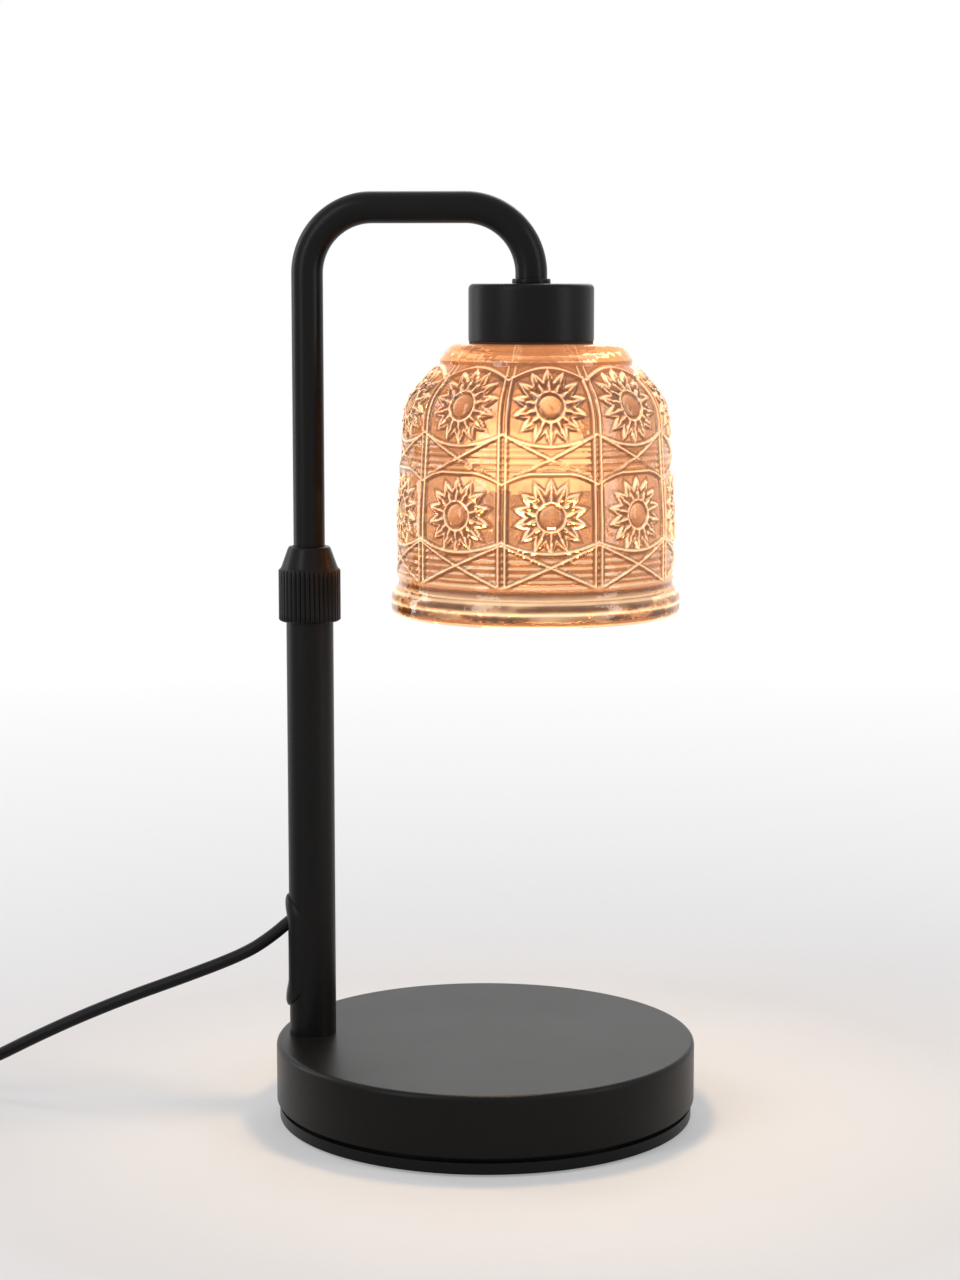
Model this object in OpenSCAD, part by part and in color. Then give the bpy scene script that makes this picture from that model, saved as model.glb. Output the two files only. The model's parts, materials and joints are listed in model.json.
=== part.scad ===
// Candle warmer lamp with a telescoping post, a swinging bent arm and a pressed-glass shade.
// Origin: centre of the base on the surface it stands on. +Z up, +X from the post towards the shade.

/* [Base] */
// Outer diameter of the base
base_d = 150; // [140:1:160]
// Height of the base's top face above the surface
base_top_z = 28.3; // [27:0.1:30]
// Radius of the base shell's rounded top edge
base_edge_r = 2; // [1.2:0.1:2.4]
// Sheet thickness of the base shell
base_wall = 1.6; // [1.2:0.1:1.6]
// Height of the base shell's lower edge
shell_bottom_z = 6.9; // [6.5:0.1:7.5]
// Thickness of the base weight
weight_h = 12; // [8:0.5:13]

/* [Post] */
// Distance of the post's axis from the base's axis
post_offset = 62.6; // [60:0.1:63]
// Outer diameter of the post tube
post_d = 16.7; // [16.4:0.1:17]
// Wall of the post tube
post_wall = 1.2; // [1:0.1:1.3]
// Height of the post tube's upper end
post_top_z = 190; // [186:1:192]
// Height of the middle of the cord slot
slot_z = 58.6; // [58:0.1:62]
// Length of the opening in the slot's bezel
slot_length = 26; // [24:0.1:26]
// Width of the opening in the slot's bezel
slot_width = 7.6; // [7:0.1:8]
// How much longer the opening is inside the post's wall than in the lip
slot_flare = 4; // [3.5:0.1:4.5]
// How far the bezel's lip stands out from the post
bezel_lip = 1.3; // [0.8:0.1:1.5]

/* [Height collar] */
// Diameter over the collar's ridges
collar_d = 22.2; // [22:0.1:23]
// Height of the collar's lower edge
collar_bottom_z = 178.2; // [178:0.1:180]
// Length of the ridged part
collar_grip_h = 18.8; // [17:0.1:19]
// Length of the collar's cone
collar_cone_h = 7.8; // [7.5:0.1:8.5]
// Number of ridges round the collar
collar_ridges = 40; // [30:1:44]

/* [Arm] */
// Outer diameter of the arm tube
arm_d = 11.1; // [10.8:0.1:11.1]
// Height of the arm's horizontal run, at its centreline
arm_z = 323.2; // [315:0.1:330]
// Bend radius of the arm, at its centreline
arm_bend_r = 23; // [20:0.5:25]
// Distance from the post's axis to the holder's axis
arm_reach = 78.5; // [76:0.05:82]

/* [Holder and shade] */
// Diameter of the holder cup
holder_d = 43.7; // [42:0.1:46]
// Height of the holder cup's top face
holder_top_z = 296.9; // [296:0.1:297.5]
// Height of the holder cup's lower edge
holder_bottom_z = 277.1; // [277.1:0.1:278]
// Height of the shade's flat top
shade_top_z = 276.3; // [276:0.1:276.3]
// Height of the shade's lower rim
shade_bottom_z = 182.4; // [180:0.1:184]
// Radius of the shade's rim
shade_rim_r = 50.6; // [50.2:0.1:51.5]
// Wall of the glass
glass_wall = 3.4; // [3:0.1:3.6]
// How far the hanging shade sits off the holder's axis, within its play
shade_shift = 1.7; // [0:0.1:1.8]
// Number of panels pressed into the shade
shade_panels = 9; // [8:1:10]
// Depth of the pattern's ground below the ribs
pattern_depth = 1; // [0.6:0.1:1.2]

/* [Cord] */
// Diameter of the cord
cord_d = 4.5; // [4.2:0.1:4.6]
// Smallest radius of the coil's loops
coil_inner_r = 19; // [18.5:0.5:20]
// Clear gap between neighbouring loops of the coil
coil_gap = 0.6; // [0.5:0.1:0.8]
// Height of the middle of the coil's lowest loops
coil_z = 3.1; // [3:0.1:3.4]

/* [Dimmer and plug] */
// Length of the dimmer's housing
dimmer_l = 56; // [54:1:60]
// Width of the dimmer's housing
dimmer_w = 27; // [26:1:30]
// Height of the dimmer's housing
dimmer_h = 17; // [16.5:0.5:18]
// Radius of the dimmer's thumbwheel
wheel_r = 8.2; // [8:0.1:8.4]
// Length of the plug's body
plug_l = 30; // [28:1:34]
// Width of the plug's body
plug_w = 26; // [24:1:28]

/* [Hidden] */

$fn = 64;
eps = 0.01;
fit = 0.1;                     // radial clearance of parts that slide or turn in each other

post_x = -post_offset;
shade_x = post_x + arm_reach;
base_r = base_d / 2;
post_r = post_d / 2;
post_in_r = post_r - post_wall;
arm_r = arm_d / 2;
arm_in_r = arm_r - 1;

// Base: heights of the stack under the shell
pad_h = 1;
plate_lip_z = 4.9;             // top of the plate's visible ring, below the shadow groove
shell_under_z = base_top_z - base_wall;
weight_z = shell_under_z - weight_h;
weight_r = base_r - base_wall - 0.4;
plate_r = base_r - 1;
spigot_r = base_r - 3.5;       // the plate's upstand, set back to leave the groove
screw_ring_r = 55;
screw_angles = [45, 135, 225, 315];
bolt_r = 4;                    // M8 bolt that holds the post
foot_r = post_in_r - 0.05;
foot_h = 20;
bolt_tip_z = base_top_z + 14;

// Post and collar
collar_r = collar_d / 2;
collar_grip_top = collar_bottom_z + collar_grip_h;
collar_top_z = collar_grip_top + collar_cone_h;
collar_mouth_r = 7.2;
collet_skirt_z = 174;
collet_top_z = collar_top_z - 1.6;
collet_wide_r = 7.9;
collet_narrow_r = 6.6;
collet_bore_r = arm_r + fit;
bezel_r = post_r + bezel_lip;
bezel_w = 16.4;
bezel_l = 41;
bezel_neck_w = slot_width + 2.4;
bezel_neck_l = slot_length + slot_flare + 2;

// Arm tube, its bush and clip
tube_end_z = 127;
bush_z = 124;
bush_h = 12;
bush_r = post_in_r - fit;
clip_z = bush_z + bush_h + 0.3;
clip_h = 1;
arm_top_z = arm_z - arm_bend_r;
tube_drop_z = holder_top_z + 0.1;
entry_ring_r = 6.7;
entry_ring_h = 1.7;

// Holder and socket
holder_r = holder_d / 2;
holder_wall = 1.5;
holder_edge_r = 2.2;
holder_under_z = holder_top_z - holder_wall;
nipple_r = arm_in_r - 0.05;
nipple_bore_r = 3.3;
nipple_top_z = 308;
cup_r = 16.5;
cup_wall = 1.5;
cup_top_z = holder_under_z - 4;
cup_bottom_z = 262;
nut_h = 3.5;
nipple_bottom_z = cup_top_z - cup_wall - nut_h - 0.9;
insert_r = cup_r - cup_wall - 0.05;
insert_z = 270.8;
insert_top_z = nipple_bottom_z - 1;
pin_circle_r = 5;
pin_stem_r = 1.5;
pin_head_r = 2.35;
lip_top_z = insert_z + 4;      // the ceramic lip that the pins' heads sit above
groove_top_z = insert_z + 10;
twist_angle = 20;

// Shade: outline from the top's edge down to the rim, as seen on the side
gasket_in_r = 17.6;
gasket_out_r = 21.6;
shade_hole_r = 18.4;
top_edge_r = 29;
facet_r = 33.6;
facet_z = 270.9;
shoulder_r = 41.2;
shoulder_z = 262.3;
shoulder_arc = 19.1;
body_top_r = 46.8;
body_r = 48.8;
body_low_z = 217;
neck_z = 192.4;
neck_r = 48;
rim_top_z = 190.4;
rib_w = 2.6;
rib_top_z = 268;
pattern_bottom_z = 195.5;
band_depth = 0.45;             // bands and rosettes lie this far below the ribs
rosette_r = 10.8;
rosette_zs = [256.2, 219.5];
bands = [[230.5, 246.5], [pattern_bottom_z, 209]];
rib_turn = -10;                // a rib's direction from straight ahead, where the panels start
front_dir = -90;
ring_r = 22;

// Bulb
bulb_base_top_z = 270.5;
bulb_base_z = 258;
bulb_neck_r = 12.2;
bulb_face_r = 25;
bulb_face_z = 226;
capsule_r = 5;
capsule_z = 243;

// Cord: routes chosen by hand, in millimetres
cord_r = cord_d / 2;
cord_sides = 10;
exit_point = [-72, 0, 67.9];
stretch_route = [
    [-72, 0, 67.9], [-77, 0, 63.7], [-83, 0, 59.4], [-89, 0, 56.1], [-98, 0, 52.1], [-112, 0, 46.5],
    [-130, 0, 39.5], [-148, 0, 31.8], [-164, 0, 24.2], [-179, 1, 16.4], [-192, 4, 9.8], [-204, 8, 5],
    [-217, 13, 2.7], [-232, 18, 2.4], [-248, 20, 2.4], [-262, 19, 2.4], [-275, 14, 3], [-285, 5, 5],
    [-289, -4, 7.6], [-290, -12, 8.5], [-290, -17, 8.5]
];
link_route = [
    [-290, -113, 8.5], [-290, -117, 8.5], [-288.5, -125, 7.2], [-283, -133, 5], [-275, -137.5, 3.6],
    [-266, -139, 3.2], [-256, -139, 3.1], [-246, -139, 3.1], [-238.5, -139, 3.1]
];
rings_per_span = 3;

// Coil: two layers of loops, wound inwards on the surface and outwards on top of them
coil_pitch = cord_d + coil_gap;
layer_turns = 3.125;
coil_turns = 2 * layer_turns;
coil_outer_r = coil_inner_r + layer_turns * coil_pitch;
coil_rings = 24;
coil_sides = 6;
coil_steps = coil_turns * coil_rings;
coil_x = -234;
coil_y = -139 + coil_outer_r;
coil_start = -90;

// Tie round the coil, on the side away from the climb between the layers
tie_angle = 135;
tie_w = 5;
tie_wall = 0.6;
tie_in_r = coil_inner_r - cord_r - 0.6;
tie_out_r = coil_outer_r + cord_r + 0.4;
tie_top_z = coil_z + coil_pitch + cord_r + 0.4;

// Dimmer, in its own frame: x along the cord, z up from the surface
dimmer_x = -290;
dimmer_y = -65;
cord_entry_z = 8.5;
shell_wall = 1.6;
relief_l = 20;
relief_big_r = 4.4;
relief_small_r = 2.9;
wheel_at = 4;
wheel_z = 11;
wheel_w = 5.4;
wheel_teeth = 30;
shaft_r = 1.5;
boss_at = [19.5, 8];
boss_r = 2.6;
board_x = [-14, 15.5];
split_z = cord_entry_z;

// Plug, at the coil's outer end
plug_x = coil_x + coil_outer_r;
plug_z = coil_z + coil_pitch;
plug_start_y = coil_y + cord_d;
plug_relief_l = 22;
blade_gap = 12.7;
blade_l = 17;
blade_w = 6.3;
blade_t = 1.5;

function unit(v) = v / norm(v);

// A point of the smooth curve through p[i] and p[i + 1], with t from 0 to 1; its ends run straight
function curve_point(p, i, t) =
    let (b = p[i], c = p[i + 1])
    let (a = i == 0 ? 2 * b - c : p[i - 1], d = i + 2 == len(p) ? 2 * c - b : p[i + 2])
    0.5 * (2 * b + (c - a) * t + (2 * a - 5 * b + 4 * c - d) * t * t + (3 * b - a - 3 * c + d) * t * t * t);

// All the ring centres along a route
function along(p, n) = concat(
    [for (i = [0 : len(p) - 2], k = [0 : n - 1]) curve_point(p, i, k / n)],
    [p[len(p) - 1]]
);

// Direction of the path at ring i, level with its ends' own spans
function heading(path, i) = unit(path[min(i + 1, len(path) - 1)] - path[max(i - 1, 0)]);

// One ring of a tube; level is a direction the path never runs along
function ring(centre, dir, r, sides, level) =
    let (u = unit(cross(dir, level)), v = cross(u, dir))
    [for (k = [0 : sides - 1]) centre + r * (cos(360 * k / sides) * u + sin(360 * k / sides) * v)];

// Closed tube of triangles swept along a path
module swept_tube(path, r, sides, level) {
    n = len(path);
    points = [for (i = [0 : n - 1]) each ring(path[i], heading(path, i), r, sides, level)];
    walls = [
        for (i = [0 : n - 2], k = [0 : sides - 1])
            let (a = i * sides + k, b = i * sides + (k + 1) % sides)
            each [[a, b, a + sides], [b, b + sides, a + sides]]
    ];
    start_cap = [for (k = [1 : sides - 2]) [0, k + 1, k]];
    last = (n - 1) * sides;
    end_cap = [for (k = [1 : sides - 2]) [last, last + k, last + k + 1]];
    polyhedron(points = points, faces = concat(walls, start_cap, end_cap));
}

// The coil's centreline after a number of turns: in along the surface, up a layer, out again
function coil_radius(turn) = coil_inner_r + coil_pitch * abs(turn - layer_turns);
function coil_climb(turn) = coil_pitch * min(max(2 * (turn - layer_turns) + 0.5, 0), 1);
function coil_point(turn) =
    let (a = coil_start + 360 * turn, r = coil_radius(turn))
    [coil_x + r * cos(a), coil_y + r * sin(a), coil_z + coil_climb(turn)];
coil_loops = [for (i = [0 : coil_steps]) coil_point(i / coil_rings)];
coil_path = concat(
    [[coil_x - cord_d, coil_y - coil_outer_r, coil_z]],
    coil_loops,
    [[plug_x, coil_y + cord_d, plug_z]]
);

// The coil's least clear gap to itself, measured between points more than half a turn apart
coil_least_gap = min([
    for (i = [0 : len(coil_loops) - 1], j = [i + coil_rings / 2 : 1 : len(coil_loops) - 1])
        norm(coil_loops[i] - coil_loops[j])
]) - cord_d;

function path_length(p, i = 0) = i >= len(p) - 1 ? 0 : norm(p[i + 1] - p[i]) + path_length(p, i + 1);
echo(coil_least_gap = coil_least_gap, coil_length = path_length(coil_path));
echo(stretch_length = path_length(along(stretch_route, rings_per_span)));
echo(link_length = path_length(along(link_route, rings_per_span)));

// The lead inside the post: down the axis, then curving to the slot
riser_bend_r = 23.4;
riser_turn = 50;
riser_bend_z = 86.7;
riser_steps = 12;
riser_path = concat(
    [[post_x, 0, tube_end_z - 0.2], [post_x, 0, 100]],
    [
        for (i = [0 : riser_steps])
            let (a = riser_turn * i / riser_steps)
            [post_x - riser_bend_r * (1 - cos(a)), 0, riser_bend_z - riser_bend_r * sin(a)]
    ],
    [exit_point]
);

module ring_solid(out_r, in_r, z0, z1) {
    translate([0, 0, z0])
        difference() {
            cylinder(r = out_r, h = z1 - z0);
            translate([0, 0, -1]) cylinder(r = in_r, h = z1 - z0 + 2);
        }
}

module at_post() {
    translate([post_x, 0, 0]) children();
}

module at_shade() {
    translate([shade_x, 0, 0]) children();
}

// Obround prism along -X through the post's wall, of full length and width
module slot_prism(l, w) {
    translate([0, 0, slot_z])
        rotate([0, -90, 0])
            linear_extrude(20)
                union() {
                    square([l - w, w], center = true);
                    for (s = [-1, 1])
                        translate([s * (l - w) / 2, 0]) circle(d = w);
                }
}

// A quarter bend of a round bar: from +X to +Z about the origin
module quarter_bend(bend_r, bar_r) {
    rotate([90, 0, 0])
        rotate_extrude(angle = 90)
            translate([bend_r, 0]) circle(r = bar_r);
}

// A round bar along the arm's centreline, from one height inside the post to one inside the holder
module arm_bar(bar_r, start_z, end_z) {
    translate([post_x, 0, start_z]) cylinder(r = bar_r, h = arm_top_z - start_z);
    translate([post_x + arm_bend_r, 0, arm_top_z])
        mirror([1, 0, 0]) quarter_bend(arm_bend_r, bar_r);
    translate([post_x + arm_bend_r, 0, arm_z])
        rotate([0, 90, 0]) cylinder(r = bar_r, h = arm_reach - 2 * arm_bend_r);
    translate([shade_x - arm_bend_r, 0, arm_top_z]) quarter_bend(arm_bend_r, bar_r);
    translate([shade_x, 0, end_z]) cylinder(r = bar_r, h = arm_top_z - end_z);
}

// ---- Base ----
module foot_pad() {
    color("#1c1c1e") cylinder(r = plate_r - 3, h = pad_h);
}

module screw_places() {
    for (a = screw_angles)
        rotate(a) translate([screw_ring_r, 0, 0]) children();
}

module base_plate() {
    color("#151516")
        difference() {
            union() {
                translate([0, 0, pad_h]) cylinder(r = plate_r, h = plate_lip_z - pad_h);
                ring_solid(spigot_r, spigot_r - 3, plate_lip_z - 1, weight_z);
            }
            screw_places() {
                translate([0, 0, -1]) cylinder(r = 2.2, h = 10);
                translate([0, 0, -1]) cylinder(r = 4.2, h = 3.8);
            }
        }
}

module base_screws() {
    color("#b9bbbd")
        screw_places() {
            translate([0, 0, 1.2]) cylinder(r = 3.9, h = 1.5);
            translate([0, 0, 2.6]) cylinder(r = 1.9, h = weight_z + 5.4);
        }
}

module base_weight() {
    color("#3b3b3d")
        difference() {
            translate([0, 0, weight_z]) cylinder(r = weight_r, h = weight_h);
            screw_places() translate([0, 0, weight_z - 1]) cylinder(r = 2, h = 10);
            at_post() {
                translate([0, 0, weight_z - 1]) cylinder(r = bolt_r + 0.3, h = weight_h + 2);
                translate([0, 0, weight_z - 1]) cylinder(r = 8.4, h = 6.7);
            }
        }
}

module base_shell() {
    color("#18181a")
        difference() {
            rotate_extrude($fn = 128)
                union() {
                    translate([0, shell_bottom_z])
                        square([base_r, base_top_z - shell_bottom_z - base_edge_r]);
                    translate([0, base_top_z - base_edge_r - 1])
                        square([base_r - base_edge_r, base_edge_r + 1]);
                    translate([base_r - base_edge_r, base_top_z - base_edge_r]) circle(r = base_edge_r);
                }
            translate([0, 0, shell_bottom_z - 1])
                cylinder(r = base_r - base_wall, h = shell_under_z - shell_bottom_z + 1);
            at_post() translate([0, 0, shell_under_z - 1]) cylinder(r = post_r + 0.05, h = base_wall + 2);
        }
}

module post_bolt() {
    color("#a9abae")
        at_post() {
            translate([0, 0, weight_z + 0.3]) cylinder(r = 6.5, h = 3.8, $fn = 6);
            translate([0, 0, weight_z + 4]) cylinder(r = bolt_r, h = bolt_tip_z - weight_z - 4);
        }
}

module post_washer() {
    color("#c2c4c6")
        at_post() ring_solid(8, bolt_r + 0.3, weight_z + 4.2, weight_z + 5.7);
}

module post_foot() {
    color("#8f9194")
        at_post()
            difference() {
                translate([0, 0, shell_under_z]) cylinder(r = foot_r, h = foot_h);
                translate([0, 0, shell_under_z - 1]) cylinder(r = bolt_r + 0.05, h = foot_h - 2);
            }
}

// ---- Post ----
module post_tube() {
    color("#19191b")
        at_post()
            difference() {
                ring_solid(post_r, post_in_r, shell_under_z, post_top_z);
                slot_prism(bezel_neck_l + 0.2, bezel_neck_w + 0.2);
            }
}

module slot_bezel() {
    color("#101011")
        at_post()
            difference() {
                union() {
                    intersection() {
                        ring_solid(bezel_r, post_r + 0.02, slot_z - 30, slot_z + 30);
                        slot_prism(bezel_l, bezel_w);
                    }
                    intersection() {
                        ring_solid(post_r + 0.5, post_in_r, slot_z - 30, slot_z + 30);
                        slot_prism(bezel_neck_l, bezel_neck_w);
                    }
                }
                slot_prism(slot_length, slot_width);
                intersection() {
                    ring_solid(post_r + 0.5, post_in_r - 1, slot_z - 30, slot_z + 30);
                    slot_prism(slot_length + slot_flare, slot_width);
                }
            }
}

module collet() {
    color("#e8e4da")
        at_post()
            difference() {
                union() {
                    translate([0, 0, collet_skirt_z])
                        cylinder(r = post_in_r - 0.1, h = post_top_z - collet_skirt_z + 1);
                    translate([0, 0, post_top_z + 0.05])
                        cylinder(
                            r1 = collet_wide_r,
                            r2 = collet_narrow_r,
                            h = collet_top_z - post_top_z - 0.05
                        );
                }
                translate([0, 0, collet_skirt_z - 1])
                    cylinder(r = collet_bore_r, h = collet_top_z - collet_skirt_z + 2);
                translate([5, -0.6, collet_skirt_z + 6]) cube([5, 1.2, 40]);
            }
}

// Outline with square ridges round a circle
module ridged_disc(r, depth, count) {
    step = 360 / count;
    polygon([
        for (i = [0 : count - 1], k = [0 : 3])
            let (a = step * (i + [0, 0.18, 0.5, 0.68][k]), rr = k == 1 || k == 2 ? r : r - depth)
            [rr * cos(a), rr * sin(a)]
    ]);
}

module height_collar() {
    color("#1f1f21")
        at_post()
            difference() {
                union() {
                    translate([0, 0, collar_bottom_z + 0.8])
                        linear_extrude(collar_grip_h - 1.6) ridged_disc(collar_r, 0.6, collar_ridges);
                    translate([0, 0, collar_bottom_z]) cylinder(r = collar_r - 0.7, h = collar_grip_h);
                    translate([0, 0, collar_grip_top - eps])
                        cylinder(r1 = collar_r - 0.7, r2 = collar_mouth_r, h = collar_cone_h - 0.9);
                    translate([0, 0, collar_top_z - 1]) cylinder(r = collar_mouth_r, h = 1);
                }
                translate([0, 0, collar_bottom_z - 1])
                    cylinder(r = post_r + fit, h = post_top_z - collar_bottom_z + 1.2);
                translate([0, 0, post_top_z + 0.1])
                    cylinder(
                        r1 = collet_wide_r + 0.3,
                        r2 = collet_narrow_r + 0.25,
                        h = collet_top_z - post_top_z + 0.1
                    );
                translate([0, 0, collet_top_z]) cylinder(r = arm_r + 0.35, h = 5);
            }
}

module guide_bush() {
    color("#e4e0d4")
        at_post()
            difference() {
                translate([0, 0, bush_z]) cylinder(r = bush_r, h = bush_h);
                translate([0, 0, bush_z - 1]) cylinder(r = arm_in_r - 0.3, h = bush_h + 2);
                translate([0, 0, tube_end_z - 0.2]) cylinder(r = arm_r + fit, h = bush_h);
            }
}

// ---- Arm ----
module arm_tube() {
    color("#19191b")
        difference() {
            arm_bar(arm_r, tube_end_z, tube_drop_z);
            arm_bar(arm_in_r, tube_end_z - 1, tube_drop_z - 1);
        }
}

module tube_clip() {
    color("#9a9c9f")
        at_post()
            difference() {
                ring_solid(arm_r + 0.9, arm_r, clip_z, clip_z + clip_h);
                translate([4, -2, clip_z - 1]) cube([5, 4, clip_h + 2]);
            }
}

module entry_ring() {
    color("#141416")
        at_shade()
            difference() {
                union() {
                    translate([0, 0, holder_top_z]) cylinder(r = entry_ring_r, h = entry_ring_h - 0.5);
                    translate([0, 0, holder_top_z + entry_ring_h - 0.5])
                        cylinder(r1 = entry_ring_r, r2 = entry_ring_r - 0.5, h = 0.5);
                }
                translate([0, 0, holder_top_z - 1]) cylinder(r = arm_r + 0.05, h = 5);
            }
}

module arm_nipple() {
    color("#b8bbbe")
        at_shade() ring_solid(nipple_r, nipple_bore_r, nipple_bottom_z, arm_top_z - 0.2);
}

module holder_cup() {
    edge_x = holder_r - holder_edge_r;
    edge_z = holder_top_z - holder_edge_r;
    color("#19191b")
        at_shade()
            difference() {
                rotate_extrude($fn = 96)
                    union() {
                        translate([0, holder_bottom_z]) square([holder_r, edge_z - holder_bottom_z]);
                        translate([0, edge_z - 1]) square([edge_x, holder_edge_r + 1]);
                        translate([edge_x, edge_z]) circle(r = holder_edge_r);
                    }
                translate([0, 0, holder_bottom_z - 1])
                    cylinder(r = holder_r - holder_wall, h = holder_under_z - holder_bottom_z + 1);
                translate([0, 0, holder_under_z - 1]) cylinder(r = nipple_r + 0.15, h = 5);
            }
}

module nipple_spacer() {
    color("#b8bbbe")
        at_shade() ring_solid(8, nipple_r + 0.1, cup_top_z, holder_under_z);
}

module lock_nut() {
    color("#a9abae")
        at_shade()
            translate([0, 0, cup_top_z - cup_wall - nut_h])
                difference() {
                    cylinder(r = 8.1, h = nut_h, $fn = 6);
                    translate([0, 0, -1]) cylinder(r = nipple_r + 0.05, h = nut_h + 2);
                }
}

module socket_cup() {
    color("#c9cbcd")
        at_shade()
            difference() {
                translate([0, 0, cup_bottom_z]) cylinder(r = cup_r, h = cup_top_z - cup_bottom_z);
                translate([0, 0, cup_bottom_z - 1])
                    cylinder(r = cup_r - cup_wall, h = cup_top_z - cup_wall - cup_bottom_z + 1);
                translate([0, 0, cup_top_z - 3]) cylinder(r = nipple_r + 0.1, h = 5);
            }
}

module socket_insert() {
    color("#f1eee6")
        at_shade()
            difference() {
                translate([0, 0, insert_z]) cylinder(r = insert_r, h = insert_top_z - insert_z);
                for (a = [90, 270])
                    rotate(a) {
                        rotate(twist_angle)
                            translate([pin_circle_r, 0, insert_z - 1])
                                cylinder(r = pin_head_r + 0.3, h = 5.5);
                        translate([pin_circle_r, 0, insert_z - 1]) cylinder(r = pin_stem_r + 0.3, h = 5.5);
                        rotate_extrude(angle = twist_angle)
                            translate([pin_circle_r - pin_stem_r - 0.3, insert_z - 1])
                                square([2 * pin_stem_r + 0.6, 5.5]);
                    }
                ring_solid(
                    pin_circle_r + pin_head_r + 0.5,
                    pin_circle_r - pin_head_r - 0.5,
                    lip_top_z,
                    groove_top_z
                );
            }
}

module socket_contacts() {
    color("#c79a3e")
        at_shade()
            for (a = [90, 270])
                rotate(a)
                    translate([pin_circle_r - 1.5, -1.5, groove_top_z - 2.4]) cube([3, 3, 2.4]);
}

module arm_lead() {
    color("#202022")
        arm_bar(cord_r, tube_end_z, insert_top_z + 0.3);
}

// ---- Shade ----
module shade_gasket() {
    color("#d9d6cf")
        at_shade() ring_solid(gasket_out_r, gasket_in_r, shade_top_z, holder_bottom_z);
}

// Points on the shoulder's arc, from the 45 degree facet round to the upright wall
function shoulder_points(inset) = [
    for (a = [45 : -9 : 0])
        [
            body_top_r - shoulder_arc + (shoulder_arc - inset) * cos(a),
            shoulder_z - 13.5 + (shoulder_arc - inset) * sin(a)
        ]
];

function shade_outline(grow) = concat(
    [[shade_hole_r, shade_top_z], [top_edge_r, shade_top_z], [facet_r + grow, facet_z]],
    shoulder_points(-grow),
    [
        [body_r + grow, body_low_z],
        [body_r + grow, neck_z + 2],
        [neck_r, neck_z],
        [shade_rim_r - 0.5, rim_top_z],
        [shade_rim_r, rim_top_z - 1.2], [shade_rim_r, shade_bottom_z + 1.4], [shade_rim_r - 1, shade_bottom_z]
    ]
);

function shade_inside() = concat(
    [[shade_rim_r - 4.4, shade_bottom_z], [body_r - glass_wall - 0.4, shade_bottom_z + 1.6]],
    [[body_r - glass_wall, body_low_z]],
    [for (p = [5 : -1 : 0]) shoulder_points(glass_wall)[p]],
    [[facet_r - 2.6, facet_z - 2.4], [top_edge_r - 1.4, shade_top_z - 3.7], [shade_hole_r, shade_top_z - 3.7]]
);

// The part of the children that lies in the wall's outer skin, up to a level above its outline
module wall_skin(level) {
    intersection() {
        rotate_extrude($fn = 96)
            difference() {
                polygon(concat(shade_outline(level), [[shade_hole_r, shade_bottom_z]]));
                polygon(concat([[0, shade_top_z + 1]], [[shade_hole_r, shade_top_z]], shade_outline(-2),
                    [[0, shade_bottom_z - 1]]));
            }
        children();
    }
}

module glass_shade() {
    color([0.86, 0.8, 0.7, 0.4])
        translate([shade_x + shade_shift, 0, 0])
            union() {
                rotate_extrude($fn = 96) polygon(concat(shade_outline(-pattern_depth), shade_inside()));
                wall_skin(-band_depth)
                    union() {
                        for (band = bands)
                            translate([0, 0, band[0]]) cylinder(r = shade_rim_r, h = band[1] - band[0]);
                        for (i = [0 : shade_panels - 1], z = rosette_zs)
                            rotate(front_dir + rib_turn + (i + 0.5) * 360 / shade_panels)
                                translate([30, 0, z]) rotate([0, 90, 0]) cylinder(r = rosette_r, h = 30);
                    }
                wall_skin(0)
                    for (i = [0 : shade_panels - 1])
                        rotate(front_dir + rib_turn + i * 360 / shade_panels)
                            translate([0, -rib_w / 2, pattern_bottom_z])
                                cube([shade_rim_r, rib_w, rib_top_z - pattern_bottom_z]);
            }
}

module shade_ring() {
    color("#b5b7ba")
        at_shade() ring_solid(ring_r, cup_r + 0.05, shade_top_z - 3.7 - 3.6, shade_top_z - 3.8);
}

// ---- Bulb ----
module bulb_pins() {
    color("#c9c2b4")
        at_shade()
            for (a = [90, 270])
                rotate(a)
                    translate([pin_circle_r, 0, 0]) {
                        translate([0, 0, bulb_base_top_z]) cylinder(r = pin_stem_r, h = 4.9);
                        translate([0, 0, lip_top_z + 0.3]) cylinder(r = pin_head_r, h = 3);
                    }
}

module bulb_base() {
    color("#efece4")
        at_shade()
            translate([0, 0, bulb_base_z]) cylinder(r = bulb_neck_r, h = bulb_base_top_z - bulb_base_z);
}

module bulb_reflector() {
    color("#d8c7a8")
        at_shade()
            rotate_extrude($fn = 96)
                polygon([
                    [bulb_neck_r, bulb_base_z],
                    [bulb_neck_r + 5.3, bulb_base_z - 8],
                    [bulb_face_r - 0.6, bulb_face_z + 5],
                    [bulb_face_r, bulb_face_z + 3],
                    [bulb_face_r, bulb_face_z],
                    [bulb_face_r - 1, bulb_face_z],
                    [bulb_face_r - 1, bulb_face_z + 3], [bulb_neck_r + 4.2, bulb_base_z - 8.4],
                    [bulb_neck_r - 1.2, bulb_base_z - 1.2], [0, bulb_base_z - 1.2], [0, bulb_base_z]
                ]);
}

module bulb_capsule() {
    color("#ffd9a0")
        at_shade() {
            translate([0, 0, capsule_z]) cylinder(r = capsule_r, h = bulb_base_z - 1.2 - capsule_z);
            translate([0, 0, capsule_z]) sphere(r = capsule_r);
        }
}

module bulb_lens() {
    color([0.95, 0.9, 0.8, 0.5])
        at_shade()
            translate([0, 0, bulb_face_z + 0.3]) cylinder(r = bulb_face_r - 1.1, h = 1.8);
}

// ---- Cord ----
module riser_lead() {
    color("#1b1b1d") swept_tube(riser_path, cord_r, cord_sides, [0, 1, 0]);
}

module cord_stretch() {
    color("#1b1b1d") swept_tube(along(stretch_route, rings_per_span), cord_r, cord_sides, [0, 0, 1]);
}

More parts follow.
